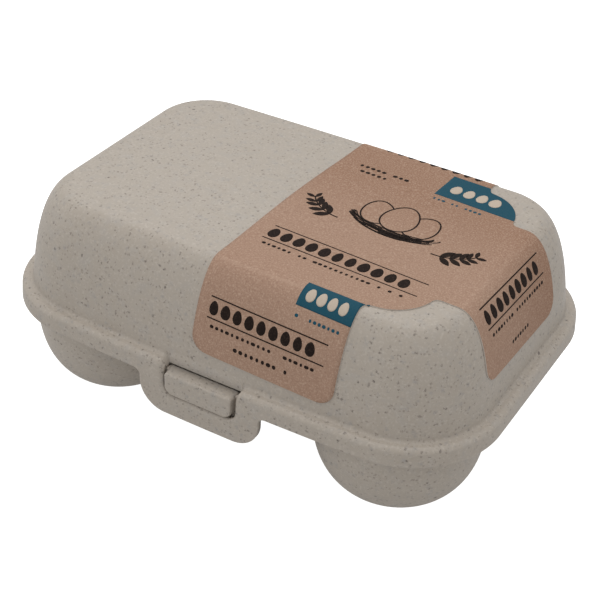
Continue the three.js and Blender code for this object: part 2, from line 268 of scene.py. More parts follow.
def on_front(x, inset, height):
    """A point of the front side, from its place along the box and in the section."""
    slope = -2 * SIDE_BOW * x / CORNER_X**2
    length = np.hypot(1, slope)
    out_x, out_y = -slope / length, -1 / length
    y = -(HALF_WIDTH + side_bow(x))
    return np.column_stack([x - out_x * inset, y - out_y * inset, height])


print(f"close to a cut edge the surface dips by {roll_dip(0.0):.2f} mm")

# %% Rolling the strip
def strip_outer(x, run, dip, share):
    """The outer side. Where it dips by a share of the ledge's roll, the wall's foot sinks."""
    inset, height, out, up = section_at(run)
    upright = run < LEDGE_START
    out, up = np.where(upright, 0, out), np.where(upright, 1, up)
    fillet = share * np.clip(height - LEDGE_Z, 0, FOOT_FILLET)
    sink = (dip + fillet) * np.clip(run / WALL_FOOT, 0, 1)
    dip = np.where(upright, sink, dip)
    return on_front(x, inset + out * dip, height - up * dip)


def strip_inner(x, run):
    """The inner side of the strip: flat under the ledge, upright behind the skirt."""
    inset, height, _, _ = section_at(run)
    on_face = run > FACE_START - 1e-6
    height = np.where(on_face, np.minimum(height, LEDGE_Z - WALL - 0.1), LEDGE_Z - WALL)
    inset = np.where(on_face, inset + WALL, np.maximum(inset, WALL + SKIRT_DRAFT))
    return on_front(x, inset, height)


print("the ledge starts", round(float(LEDGE_START), 1), "mm down the strip")

# %% Outlines on the strip
def ellipse_arc(centre, half_u, half_v, start, end, steps=14):
    """Points along an ellipse between two angles in degrees."""
    angles = np.radians(np.linspace(start, end, steps + 1))
    return np.column_stack([
        centre[0] + half_u * np.cos(angles), centre[1] + half_v * np.sin(angles),
    ])


def arc_points(centre, radius, start, end, steps=14):
    return ellipse_arc(centre, radius, radius, start, end, steps)


def straight(start, end, spacing=1.0):
    """Points between two ends, both left out."""
    count = max(1, round(math.dist(start, end) / spacing))
    t = np.linspace(0, 1, count + 1)[1:-1, None]
    return np.asarray(start) * (1 - t) + np.asarray(end) * t


def join_arcs(arcs, start=None, end=None):
    """Arcs with straight stretches between them, closed or from a start to an end."""
    parts = [] if start is None else [straight(start, arcs[0][0])]
    targets = [here[0] for here in arcs[1:]] + [arcs[0][0] if end is None else end]
    for here, target in zip(arcs, targets):
        parts += [here, straight(here[-1], target)]
    return np.vstack(parts)


def tab_edge():
    """The lower edge of the latch stretch from left to right, run counted downwards."""
    left, right, corner, neck = TAB["left"], TAB["right"], TAB["corner"], TAB["neck"]
    deep = SKIRT_END + TAB["drop"]
    return join_arcs([
        arc_points((left - neck, SKIRT_END + neck), neck, -90, 0, 8),
        arc_points((left + corner, deep - corner), corner, 180, 90),
        arc_points((right - corner, deep - corner), corner, 90, 0),
        arc_points((right + neck, SKIRT_END + neck), neck, 180, 270, 8),
    ], (-PATCH_X, SKIRT_END), (PATCH_X, SKIRT_END))


def window_sides():
    """From the wall's foot down the window's left side, along its foot and up the right."""
    left, right, r = WINDOW["left"], WINDOW["right"], WINDOW["corner"]
    low = SKIRT_END + WINDOW["drop"]
    corners = [
        arc_points((left + r, low - r), r, 180, 90, 10),
        arc_points((right - r, low - r), r, 90, 0, 10),
    ]
    return np.vstack([
        [(left, WALL_FOOT)], straight((left, WALL_FOOT), corners[0][0], 0.5), corners[0],
        straight(corners[0][-1], corners[1][0]), corners[1],
        straight(corners[1][-1], (right, WALL_FOOT), 0.5), [(right, WALL_FOOT)],
    ])


print(len(tab_edge()), "points on the tab's edge,", len(window_sides()), "round the window")

# %% [markdown]
# ## Filling the strip
# The strip is filled by a constrained Delaunay triangulation: the outlines are its fixed
# edges, and inside go a fine grid and, near the cut edges, rows of points for the rounding.

# %% Tools for outlines
def offset_rows(edge, closed, side, distances):
    """Copies of an outline moved sideways by each distance."""
    if closed:
        along = np.roll(edge, -1, axis=0) - np.roll(edge, 1, axis=0)
    else:
        along = np.gradient(edge, axis=0)
    normal = np.column_stack([-along[:, 1], along[:, 0]]) * side
    normal /= np.linalg.norm(normal, axis=1)[:, None]
    return np.vstack([edge + normal * distance for distance in distances])


def distance_to(points, edge, closed):
    """Distance from each point to the nearest stretch of an outline."""
    ends = np.vstack([edge[1:], edge[:1]]) if closed else edge[1:]
    starts = edge if closed else edge[:-1]
    best = np.full(len(points), np.inf)
    for a, b in zip(starts, ends):
        ab = b - a
        t = np.clip(((points - a) @ ab) / max(ab @ ab, 1e-12), 0, 1)[:, None]
        best = np.minimum(best, np.linalg.norm(points - a - t * ab, axis=1))
    return best


def inside(points, outline_points):
    """Even-odd test of points against a closed outline."""
    x, y = points[:, :1], points[:, 1:]
    x1, y1 = outline_points.T
    x2, y2 = np.roll(outline_points, -1, axis=0).T
    height = np.where(y2 == y1, 1e-12, y2 - y1)
    crosses = ((y1 > y) != (y2 > y)) & (x < (x2 - x1) * (y - y1) / height + x1)
    return crosses.sum(axis=1) % 2 == 1


print("outline tools ready")

# %% Points on the strip
ROWS = [0.02, 0.07, 0.16, 0.3, ROLL]    # distances of the fine rows from a cut edge
WIDE_ROWS = [*ROWS, 0.65, 0.9]
CLEAR_OF_ROWS = 1.25 * ROLL
GRID = 0.5
station_x = latch_stations()
side_runs = rim_run[1:-1]
tab_line = np.vstack([[(-PATCH_X, SKIRT_END)], tab_edge(), [(PATCH_X, SKIRT_END)]])
sides = window_sides()
window_line = np.vstack([sides, straight(sides[-1], sides[0], 0.5)])
top_line = np.column_stack([station_x, np.zeros(len(station_x))])
left_line = np.column_stack([np.full(len(side_runs), -PATCH_X), side_runs])
right_line = left_line * (-1, 1)
border = np.vstack([top_line, right_line, tab_line[::-1], left_line[::-1]])

tab_runs = np.arange(SKIRT_END + GRID, SKIRT_END + TAB["drop"], 0.9)
grid_x, grid_run = np.meshgrid(np.arange(-PATCH_X + GRID, PATCH_X, GRID),
                               np.concatenate([side_runs, tab_runs]))
grid = np.column_stack([grid_x.ravel(), grid_run.ravel()])
keep = inside(grid, border) & ~inside(grid, window_line)
keep &= distance_to(grid, tab_line, False) > CLEAR_OF_ROWS
keep &= distance_to(grid, window_line, True) > CLEAR_OF_ROWS
keep &= np.abs(grid[:, 0]) < PATCH_X - 0.3
rows = np.vstack([
    offset_rows(tab_line[1:-1], False, -1, ROWS), offset_rows(sides, False, -1, WIDE_ROWS),
])
rows = rows[inside(rows, border) & ~inside(rows, window_line)]
rows = rows[(rows[:, 1] > 0.05) & (np.abs(rows[:, 0]) < PATCH_X - 0.1)]
strip = np.vstack([border, window_line, rows, grid[keep]])
print(len(strip), "points on the strip")

# %% Triangulate the strip
def loop_edges(start, count):
    return [(start + i, start + (i + 1) % count) for i in range(count)]


def triangulate(points, edges):
    vectors = [Vector(point) for point in points]
    made, _, faces, _, _, _ = delaunay_2d_cdt(vectors, edges, [], 0, 1e-6)
    return np.array([tuple(v) for v in made]), [tuple(face) for face in faces]


edges = loop_edges(0, len(border)) + loop_edges(len(border), len(window_line))
flat, triangles = triangulate(strip, edges)
centres = np.array([flat[list(face)].mean(axis=0) for face in triangles])
solid_part = inside(centres, border) & ~inside(centres, window_line)
triangles = [face for face, stays in zip(triangles, solid_part) if stays]
print(len(triangles), "triangles on the strip")

# %% Roll up the latch stretch of the rim
LEDGE_ROLL = 2.4         # where the window cuts the ledge, the ledge rolls down deeper
SAME = 1e-4              # points this close count as being on a line

worn = np.interp(flat[:, 1], [FACE_START - 2.5, FACE_START + 1.5], [LEDGE_ROLL, ROLL])
window_dip = roll_dip(distance_to(flat, sides, False), worn)
dip = np.maximum(roll_dip(distance_to(flat, tab_line, False)), window_dip)
patch_outer = strip_outer(flat[:, 0], flat[:, 1], dip, window_dip / worn)
patch_inner = strip_inner(flat[:, 0], flat[:, 1])
# Round the window the inner side keeps clear below the outer one, which dips there.
room = 0.5 * WALL * np.clip((FACE_START - flat[:, 1]) / 1.5, 0, 1)
under_roof = np.minimum(patch_inner[:, 2], patch_outer[:, 2] - room)
patch_inner[:, 2] = np.where(window_dip > 0, under_roof, patch_inner[:, 2])
# Over the catch block the wall goes on down behind the window, which leaves a dark slit.
on_foot = np.abs(flat[:, 1] - WALL_FOOT) < SAME
on_foot &= (flat[:, 0] > WINDOW["left"] - SAME) & (flat[:, 0] < WINDOW["right"] + SAME)
patch_outer[on_foot, 2] = WALL_END
patch_inner[on_foot, 2] = WALL_END + 0.1


def on_seam(a, b):
    """Whether an open edge lies on the strip's top or side, where the sweep carries on."""
    ends = flat[[a, b]]
    at_side = np.all(np.abs(np.abs(ends[:, 0]) - PATCH_X) < SAME)
    at_side &= np.all(ends[:, 1] < SKIRT_END + SAME)
    return at_side or np.all(ends[:, 1] < SAME)


count = len(flat)
patch_faces = list(triangles) + [tuple(i + count for i in reversed(f)) for f in triangles]
patch_faces += [
    (b, a, a + count, b + count) for a, b in open_rim(triangles) if not on_seam(a, b)
]
patch_points = np.vstack([patch_outer, patch_inner])
print(len(patch_faces), "faces in the latch stretch")

# %% [markdown]
# ## Sweeping a section round the rim
# Everything else of the lid is one section swept round the outline, which is a job for
# Geometry Nodes: Curve to Mesh carries a profile along a path, here with the profile's
# plane always upright. One tree serves the lid, the base's flange and the egg cups, and
# its named inputs are the path, the section, a welding distance and a finish.

# %% Helpers for every node tree
def new_tree(name, kind, inputs, outputs):
    """A tree with named sockets; gives back the sockets to read from and to write to."""
    tree = bpy.data.node_groups.new(name, kind)
    for way, sockets in (("INPUT", inputs), ("OUTPUT", outputs)):
        for key, socket, *value in sockets:
            item = tree.interface.new_socket(name=key, in_out=way,
                                             socket_type="NodeSocket" + socket)
            if value:
                item.default_value = value[0]
    given, result = tree.nodes.new("NodeGroupInput"), tree.nodes.new("NodeGroupOutput")
    return tree, given.outputs, result.inputs


def plug(tree, socket, value):
    """Links a socket to another one, or sets it to a number or a colour."""
    if isinstance(value, bpy.types.NodeSocket):
        tree.links.new(value, socket)
    else:
        socket.default_value = (*value, 1) if socket.type == "RGBA" else value


def add_node(tree, kind, inputs, **settings):
    node = tree.nodes.new(kind)
    for key, value in settings.items():
        setattr(node, key, value)
    for key, value in inputs.items():
        plug(tree, node.inputs[key], value)
    return node


def finish_mesh(tree, given, result, geometry):
    """Ends a tree that makes a mesh: no instances are left, and it has its finish."""
    real = add_node(tree, "GeometryNodeRealizeInstances", {"Geometry": geometry})
    finish = add_node(tree, "GeometryNodeSetMaterial", {
        "Geometry": real.outputs["Geometry"], "Material": given["Finish"],
    })
    plug(tree, result["Mesh"], finish.outputs["Geometry"])


print("node helpers ready")

# %% The sweep tree
def sweep_tree():
    """Carries a section along a path and welds the seam."""
    tree, given, result = new_tree("sweep_section_along_path", "GeometryNodeTree", [
        ("Path", "Object"), ("Section", "Object"), ("Weld", "Float"), ("Finish", "Material"),
    ], [("Mesh", "Geometry")])
    path, section = (add_node(tree, "GeometryNodeObjectInfo", {"Object": given[key]})
                     for key in ("Path", "Section"))
    sweep = add_node(tree, "GeometryNodeCurveToMesh", {
        "Curve": path.outputs["Geometry"], "Profile Curve": section.outputs["Geometry"],
    })
    weld = add_node(tree, "GeometryNodeMergeByDistance", {
        "Geometry": sweep.outputs["Mesh"], "Distance": given["Weld"],
    })
    finish_mesh(tree, given, result, weld.outputs["Geometry"])
    return tree


sweeper = sweep_tree()
print("sweep tree:", [item.name for item in sweeper.interface.items_tree])

# %% Run a tree, sweep a section
def curve_object(name, splines, closed):
    """A poly curve, its normals upright, from lists of points in millimetres."""
    curve = bpy.data.curves.new(name, "CURVE")
    curve.dimensions = "3D"
    curve.twist_mode = "Z_UP"
    for points in splines:
        spline = curve.splines.new("POLY")
        spline.points.add(len(points) - 1)
        for target, point in zip(spline.points, points):
            padded = (*point, 0, 0)[:3]
            target.co = (*(value * MM for value in padded), 1)
        spline.use_cyclic_u = closed
    holder = bpy.data.objects.new(name, curve)
    bpy.context.scene.collection.objects.link(holder)
    return holder


def run_tree(name, tree, inputs):
    """Runs a tree on an empty mesh and returns its result as a plain mesh object."""
    piece = mesh_object(name, np.zeros((0, 3)), [])
    modifier = piece.modifiers.new("rule", "NODES")
    modifier.node_group = tree
    for item in tree.interface.items_tree:
        if item.in_out == "INPUT":
            modifier[item.identifier] = inputs[item.name]
    bpy.context.view_layer.update()
    evaluated = piece.evaluated_get(bpy.context.evaluated_depsgraph_get())
    made = bpy.data.meshes.new_from_object(evaluated)
    piece.modifiers.clear()
    piece.data = made
    made.name = name
    return piece


def swept(name, paths, section, finish, weld=0.002):
    """Sweeps a section of (inset, height) pairs along closed paths."""
    path = curve_object(name + "_path", paths, True)
    profile = curve_object(name + "_section", [[(-a, -b) for a, b in section]], False)
    piece = run_tree(name, sweeper, {
        "Path": path, "Section": profile, "Weld": weld * MM, "Finish": finish,
    })
    for helper in (path, profile):
        bpy.data.objects.remove(helper)
    return piece


print("ready to sweep")

# %% [markdown]
# ## Plastic finish
# The real plastic is filled with plant fibre: warm grey beige with dark brown flecks, some
# bluish ones and fine pale grain. An image texture would do it, but cells of Voronoi noise
# give true round flecks at a size in millimetres. Flecks are an effect of two finishes, so
# they are a node group that puts out only a mask.

# %% Maths in a node tree
def math_node(tree, operation, first, second=0.0, clamp=False):
    return add_node(tree, "ShaderNodeMath", {0: first, 1: second},
                    operation=operation, use_clamp=clamp).outputs[0]


def product(tree, first, *others):
    for other in others:
        first = math_node(tree, "MULTIPLY", first, other)
    return first


def vector_node(tree, operation, first, second):
    key = "Scale" if operation == "SCALE" else 1
    return add_node(tree, "ShaderNodeVectorMath", {0: first, key: second},
                    operation=operation).outputs[0]


print("maths nodes ready")

# %% Node group for flecks
def fleck_group():
    """Flecks of a size on a pitch, both in metres; the mask is 1 inside a fleck."""
    tree, given, result = new_tree("flecks", "ShaderNodeTree", [
        ("Vector", "Vector"), ("Pitch", "Float", 0.002), ("Size", "Float", 0.0004),
        ("Share", "Float", 0.5), ("Softness", "Float", 0.3), ("Ragged", "Float", 0.4),
    ], [("Mask", "Float")])
    scale = math_node(tree, "DIVIDE", 1.0, given["Pitch"])
    bend = add_node(tree, "ShaderNodeTexNoise", {
        "Vector": given["Vector"], "Scale": product(tree, scale, 3.0), "Detail": 2.0,
    })
    shift = vector_node(tree, "SUBTRACT", bend.outputs["Color"], (0.5, 0.5, 0.5))
    reach = product(tree, given["Size"], given["Ragged"], 4.0)
    shift = vector_node(tree, "SCALE", shift, reach)
    cells = add_node(tree, "ShaderNodeTexVoronoi", {
        "Vector": vector_node(tree, "ADD", given["Vector"], shift), "Scale": scale,
    })
    draws = add_node(tree, "ShaderNodeSeparateColor", {"Color": cells.outputs["Color"]})
    radius = product(tree, given["Size"], scale, math_node(tree, "ADD", draws.outputs[1], 0.35))
    ratio = math_node(tree, "DIVIDE", cells.outputs["Distance"], radius)
    soft = math_node(tree, "DIVIDE", math_node(tree, "SUBTRACT", 1.0, ratio),
                     given["Softness"], clamp=True)
    chosen = math_node(tree, "LESS_THAN", draws.outputs[0], given["Share"])
    plug(tree, result["Mask"], product(tree, soft, chosen))
    return tree


flecks = fleck_group()
print("node group:", flecks.name)

# %% Node group for an uneven surface
def grain_group():
    """A fine uneven surface: a normal from soft waves and tiny grain."""
    tree, given, result = new_tree("moulded_grain", "ShaderNodeTree", [
        ("Vector", "Vector"), ("Wave Size", "Float", 0.004), ("Grain Size", "Float", 0.0004),
        ("Wave", "Float", 0.1), ("Grain", "Float", 0.1),
    ], [("Normal", "Vector")])
    heights = []
    for effect in ("Wave", "Grain"):
        scale = math_node(tree, "DIVIDE", 1.0, given[effect + " Size"])
        noise = add_node(tree, "ShaderNodeTexNoise", {
            "Vector": given["Vector"], "Scale": scale, "Detail": 2.0,
        })
        heights.append(product(tree, noise.outputs["Fac"], given[effect]))
    bump = add_node(tree, "ShaderNodeBump", {
        "Strength": 0.5, "Distance": 0.0001, "Height": math_node(tree, "ADD", *heights),
    })
    plug(tree, result["Normal"], bump.outputs["Normal"])
    return tree


grain = grain_group()
print("node group:", grain.name)

# %% Material helpers
def new_material(name, colour, roughness, gloss=0.25):
    """A material with a Principled shader, its own values set on its own sockets."""
    material = bpy.data.materials.new(name)
    material.use_nodes = True
    material.diffuse_color = (*colour, 1)
    tree = material.node_tree
    shader = tree.nodes["Principled BSDF"].inputs
    plug(tree, shader["Base Color"], colour)
    plug(tree, shader["Roughness"], roughness)
    plug(tree, shader["Specular IOR Level"], gloss)
    return material, tree, shader, tree.nodes.new("ShaderNodeTexCoord").outputs["Object"]


def place_group(tree, group, place, values):
    return add_node(tree, "ShaderNodeGroup", {"Vector": place, **values},
                    node_tree=group).outputs[0]


def add_grain(tree, shader, place, wave_size, grain_size, wave, fine):
    normal = place_group(tree, grain, place, {
        "Wave Size": wave_size, "Grain Size": grain_size, "Wave": wave, "Grain": fine,
    })
    plug(tree, shader["Normal"], normal)


def blend_colour(tree, base, tint, mask, amount=1.0):
    """Mixes a tint over a colour where the mask is white."""
    factor = mask if amount == 1.0 else product(tree, mask, amount)
    return add_node(tree, "ShaderNodeMix", {"Factor": factor, 6: base, 7: tint},
                    data_type="RGBA").outputs[2]


def spread(tree, value, low, high):
    """A mask that is 0 where a value is at its low end and 1 where it is at its high end."""
    return add_node(tree, "ShaderNodeMapRange", {
        "Value": value, "From Min": low, "From Max": high,
    }).outputs["Result"]


def cloud(tree, place, size, low, high):
    """A soft mask of clouds of a size in metres."""
    noise = add_node(tree, "ShaderNodeTexNoise", {
        "Vector": place, "Scale": 1 / size, "Detail": 3.0,
    })
    return spread(tree, noise.outputs["Fac"], low, high)


print("material helpers ready")

# %% Speckled plastic
PLASTIC = (0.405, 0.358, 0.306)
PALE_GRAIN = (0.56, 0.51, 0.45)
BROWN_FLECK = (0.095, 0.078, 0.072)
BLUE_FLECK = (0.20, 0.21, 0.23)
TAN_CLOUD = (0.37, 0.32, 0.265)
BLUE_CLOUD = (0.365, 0.345, 0.325)


def speckled_plastic():
    material, tree, shader, place = new_material("speckled_plastic", PLASTIC, 0.42)
    colour = PLASTIC
    for tint, amount, size, low, high in (
        (TAN_CLOUD, 0.35, 0.006, 0.5, 0.75), (BLUE_CLOUD, 0.3, 0.0035, 0.5, 0.7),
        (PALE_GRAIN, 0.35, 0.0007, 0.52, 0.7),
    ):
        colour = blend_colour(tree, colour, tint, cloud(tree, place, size, low, high), amount)
    for tint, amount, pitch, size, share, softness in (
        (TAN_CLOUD, 0.70, 0.0012, 0.00034, 0.60, 0.90),
        (BLUE_FLECK, 0.36, 0.0021, 0.00072, 0.55, 0.90),
        (BROWN_FLECK, 0.50, 0.0010, 0.00035, 0.55, 0.75),
        (BROWN_FLECK, 0.60, 0.0016, 0.00041, 0.50, 0.60),
        (BROWN_FLECK, 0.70, 0.0042, 0.00046, 0.40, 0.50),
    ):
        mask = place_group(tree, flecks, place, {
            "Pitch": pitch, "Size": size, "Share": share, "Softness": softness, "Ragged": 0.8,
        })
        colour = blend_colour(tree, colour, tint, mask, amount)
    plug(tree, shader["Base Color"], colour)
    add_grain(tree, shader, place, 0.005, 0.00045, 0.5, 0.22)
    return material


plastic = speckled_plastic()
print("made", plastic.name)

# %% [markdown]
# ## The lid
# The lid's section runs from the edge of the top down the wall and round the rim to its
# inner side. After the sweep, the latch stretch of the rim is cut out and the rolled strip
# set in its place. The top, which rises a millimetre to its middle, is filled by rings that
# shrink, and the underside, which can't be seen into, is closed flat. A long side bows out
# less at the top than at the rim, so the bow is partly taken back with height.

# %% Sweep the lid
def lid_section():
    """The whole section; close to its end the skirt dips like every cut edge."""
    dips = roll_dip(SKIRT_END - rim_run)
    inset, height, out, up = section_at(rim_run)
    outer = np.column_stack([inset + out * dips, height - up * dips])
    inner = strip_inner(np.zeros(len(rim_run)), rim_run)
    inner = np.column_stack([inner[:, 1] + FRONT_Y, inner[:, 2]])
    return np.vstack([wall_section()[:-1 - WALL_ROWS], outer, inner[::-1]])


lid = swept("lid_shell", [outline], lid_section(), plastic)
print(len(lid.data.polygons), "faces swept")

# %% Set the latch stretch in the rim
def cut_latch_stretch(piece):
    work = bmesh.new()
    work.from_mesh(piece.data)
    low = (rim[0, 1] - 0.01) * MM
    gone = []
    for face in work.faces:
        middle = face.calc_center_median()
        in_front = abs(middle.x) < PATCH_X * MM and middle.y < -CORNER_Y * MM
        if in_front and middle.z < low:
            gone.append(face)
    bmesh.ops.delete(work, geom=gone, context="FACES")
    work.to_mesh(piece.data)
    work.free()
    print(len(gone), "faces of the plain rim cut out")


def add_to(piece, points, faces):
    """Appends faces to a piece's mesh, points in millimetres."""
    work = bmesh.new()
    work.from_mesh(piece.data)
    made = [work.verts.new(Vector(point) * MM) for point in points]
    for face in faces:
        work.faces.new([made[i] for i in face])
    work.to_mesh(piece.data)
    work.free()


cut_latch_stretch(lid)
add_to(lid, patch_points, patch_faces)

# %% Rings that fill a shape
def ring_quads(rings, count):
    """Quads between rings of the same count of points."""
    faces = []
    for start in range(0, (rings - 1) * count, count):
        for i in range(count):
            a, b = start + i, start + (i + 1) % count
            faces.append((a, b, b + count, a + count))
    return faces


def filled(ring, scales):
    """A flat shape filled by rings that shrink to its middle."""
    rings, count = len(scales), len(ring)
    points = np.vstack([ring * scale for scale in scales] + [np.zeros((1, 2))])
    start, middle = (rings - 1) * count, rings * count
    faces = ring_quads(rings, count)
    faces += [(start + i, start + (i + 1) % count, middle) for i in range(count)]
    return points, faces


def plate(ring, scales, heights):
    """A filled ring at one height, or at the heights that a rule gives."""
    flat_points, faces = filled(ring, scales)
    levels = heights(*flat_points.T) if callable(heights) else np.full(len(flat_points), heights)
    return np.column_stack([flat_points, levels]), faces


print("ring tools ready")

# %% Close the top and the underside
def crown_height(x, y):
    along_x = x / (HALF_LENGTH - LEDGE - WALL_INSET)
    along_y = y / (HALF_WIDTH - LEDGE - WALL_INSET)
    return CROWN * np.clip(1 - along_x**2, 0, None) ** 2 * np.clip(1 - along_y**2, 0, None) ** 2


def inset_ring(inset):
    """The rim's outline moved in at right angles, as the sweep moves it."""
    ahead, behind = np.roll(outline, -1, axis=0) - outline, outline - np.roll(outline, 1, axis=0)
    ahead /= np.linalg.norm(ahead, axis=1)[:, None]
    behind /= np.linalg.norm(behind, axis=1)[:, None]
    along = ahead + behind
    along /= np.linalg.norm(along, axis=1)[:, None]
    return outline - np.column_stack([along[:, 1], -along[:, 0]]) * inset


def straighten_top(piece):
    """Takes back part of the sides' bow, the more the higher."""
    half = HALF_WIDTH - LEDGE - WALL_INSET
    for vertex in piece.data.vertices:
        x, y, z = vertex.co / MM
        back = float(side_bow(x) - side_bow(x, z))
        vertex.co.y -= math.copysign(back * min(1, abs(y) / half), y) * MM


top_edge = inset_ring(LEDGE + WALL_INSET)
top_points, top_faces = plate(top_edge, np.linspace(1, 0.06, 22),
                              lambda x, y: TOP_Z + crown_height(x, y))
top_points[:len(top_edge), 2] = TOP_Z
add_to(lid, top_points, top_faces)
add_to(lid, *plate(inset_ring(rim[0, 0]), np.linspace(1, 0.1, 5), LEDGE_Z - WALL))
straighten_top(lid)
tidy_mesh(lid, weld=0.03)
lid.data.materials.clear()
lid.data.materials.append(plastic)

# %% [markdown]
# ## The base
# The base hangs under the lid: a flange hidden by the skirt, and four cups that also are
# the box's feet. Each cup's profile is a superellipse, flat at the foot and steep at the
# mouth. All four cups are one sweep, along four circles.

# %% Egg cups
CUP = {"x": 49.7, "y": 25.5, "radius": 25.3, "depth": SKIRT_Z, "power": 2.75, "flare": 1.2}
FOOT_CUT = 0.4
FLANGE_INSET = WALL + SKIRT_DRAFT + 0.3
FLANGE_LOW, FLANGE_HIGH = SKIRT_Z + 1.0, SKIRT_Z + 2.6


def cup_section(steps=44):
    """From the middle of the foot up the wall, then back in over the hidden top."""
    exponent = 2 / CUP["power"]
    angles = np.linspace(0, math.pi / 2, steps)
    radius = CUP["radius"] * np.sin(angles) ** exponent
    height = CUP["depth"] * (1 - np.cos(angles) ** exponent)
    height = np.clip(height - FOOT_CUT, 0, None) * CUP["depth"] / (CUP["depth"] - FOOT_CUT)
    flare = arc(6)[1:]
    mouth = np.column_stack([
        CUP["radius"] + CUP["flare"] * (1 - np.cos(flare)),
        CUP["depth"] + (FLANGE_LOW - CUP["depth"]) * np.sin(flare),
    ])
    hidden = [(CUP["radius"] + CUP["flare"], FLANGE_LOW + 0.3), (0, FLANGE_LOW + 0.3)]
    profile = np.vstack([np.column_stack([radius, height]), mouth, hidden])
    return np.column_stack([CUP["radius"] - profile[:, 0], profile[:, 1]])


circles = [arc_points((side_x * CUP["x"], side_y * CUP["y"]), CUP["radius"], 0, 360, 96)[:-1]
           for side_x in (-1, 1) for side_y in (-1, 1)]
cups = swept("egg_cups", circles, cup_section(), plastic, weld=0.01)
tidy_mesh(cups, weld=0.01)

# %% The flange inside the skirt
FLANGE_ROUNDING = 0.5


def flange_section():
    edge = [(FLANGE_INSET + FLANGE_ROUNDING * (1 - math.sin(a)),
             FLANGE_LOW + FLANGE_ROUNDING * (1 - math.cos(a))) for a in arc(4)]
    top = [(inset, FLANGE_LOW + FLANGE_HIGH - height) for inset, height in reversed(edge)]
    return edge + top


flange = swept("base_flange", [outline], flange_section(), plastic)
for level in (FLANGE_LOW, FLANGE_HIGH):
    ring = inset_ring(FLANGE_INSET + FLANGE_ROUNDING)
    add_to(flange, *plate(ring, np.linspace(1, 0.1, 6), level))
tidy_mesh(flange, weld=0.03)

# %% [markdown]
# ## Catch block and hinge strip
# The base's catch block stands in the tab's window with a thin dark line round it. It is a
# button: a rounded rectangle seen from the front, whose front edge is rolled over. Rings of
# its outline, each a little smaller and a little further out, give that roll exactly. The
# tongue that carries the block and shuts the window's gaps, and the hinge strip at the
# back, are made the same way.

# %% Buttons that stand out of a side
def rounded_rectangle(box, top_corner, low_corner, steps=12):
    """Its box is left, right, low and high; it starts at the upper left."""
    left, right, low, high = box
    t, r = top_corner, low_corner
    return join_arcs([
        arc_points((left + t, high - t), t, 180, 90, steps),
        arc_points((right - t, high - t), t, 90, 0, steps),
        arc_points((right - r, low + r), r, 0, -90, steps),
        arc_points((left + r, low + r), r, -90, -180, steps),
    ])


def button(name, box, corners, depth, roll, draft=(0, 0, 0, 0)):
    """A rounded rectangle drawn out along Y to a face whose edge is rolled over.

    On its way out it narrows by a draft on its left, right, lower and upper side.
    """
    shape = rounded_rectangle(box, *corners)
    y_root, y_face = depth
    outward = math.copysign(1, y_face - y_root)
    low_corner, high_corner = shape.min(axis=0), shape.max(axis=0)
    low_draft, high_draft = np.array(draft)[[0, 2]], np.array(draft)[[1, 3]]
    rings = [(0, 0, y_root)]
    rings += [(1, roll * (1 - math.cos(a)), y_face - outward * roll * (1 - math.sin(a)))
              for a in arc(8)]
    points = []
    for drafted, inset, y in rings:
        low = low_corner + drafted * low_draft + inset
        high = high_corner - drafted * high_draft - inset
        ring = low + (shape - low_corner) * (high - low) / (high_corner - low_corner)
        points += [(x, y, z) for x, z in ring]
    count, last = len(shape), len(rings) - 1
    caps = [tuple(range(count)), tuple(range(last * count, (last + 1) * count))]
    piece = mesh_object(name, points, caps + ring_quads(len(rings), count))
    tidy_mesh(piece)
    return piece


ROOT_Y = 50.6            # block and hinge start this far out, hidden by the skirt
TONGUE_DEPTH = (-51.2, -52.75)
block = button("catch_block", (-11.8, 12.2, SKIRT_Z - 4.8, SKIRT_Z + 3.4), (1.2, 2.9),
               (-ROOT_Y, -FRONT_Y + 0.05), 0.65, (0.4, 1.0, 0.1, 0.8))
tongue = button("catch_tongue", (-14, 15, SKIRT_Z - 8.0, SKIRT_Z + 2.0), (2.0, 3.0),
                TONGUE_DEPTH, 0.4)
hinge = button("hinge_strip", (-24, 24, SKIRT_Z - 3.2, SKIRT_Z - 0.35), (0.8, 1.4),
               (ROOT_Y, FRONT_Y - 0.02), 0.5)

# %% Join the base
def joined(name, parts):
    """One object from several closed parts."""
    work = bmesh.new()
    for part in parts:
        work.from_mesh(part.data)
    mesh = bpy.data.meshes.new(name)
    work.to_mesh(mesh)
    work.free()
    mesh.shade_smooth()
    mesh.materials.append(plastic)
    piece = bpy.data.objects.new(name, mesh)
    bpy.context.scene.collection.objects.link(piece)
    for part in parts:
        bpy.data.objects.remove(part)
    return piece


base = joined("base_tray", [cups, flange, block, tongue, hinge])
print("base:", len(base.data.polygons), "faces")

# %% [markdown]
# ## The label
# The label is one sheet of kraft paper: a panel on top and three flaps folded down the
# walls. It is laid out flat in its own (u, v) plane, which is how a real label is printed
# and cut, and then laid on the lid along the surface, a touch askew like the real one.

# %% Laying a flat point on the lid
LABEL_TURN = math.radians(-2.2)
wall_in, wall_rise = wall_curve(np.linspace(0, math.pi / 2, 600))
wall_run = np.concatenate([[0], np.cumsum(np.hypot(np.diff(wall_in), np.diff(wall_rise)))])
wall_slope = np.column_stack([np.gradient(wall_in), np.gradient(wall_rise)])
wall_slope /= np.linalg.norm(wall_slope, axis=1)[:, None]


def down_wall(run, lift):
    """Distance out from the top's edge and height, a run down the wall."""
    left = np.clip(wall_run[-1] - run, 0, None)
    inset, rise, lean, up = (np.interp(left, wall_run, values) for values in (
        wall_in, wall_rise, wall_slope[:, 0], wall_slope[:, 1]))
    return WALL_INSET - inset + up * lift, LEDGE_Z + rise + lean * lift


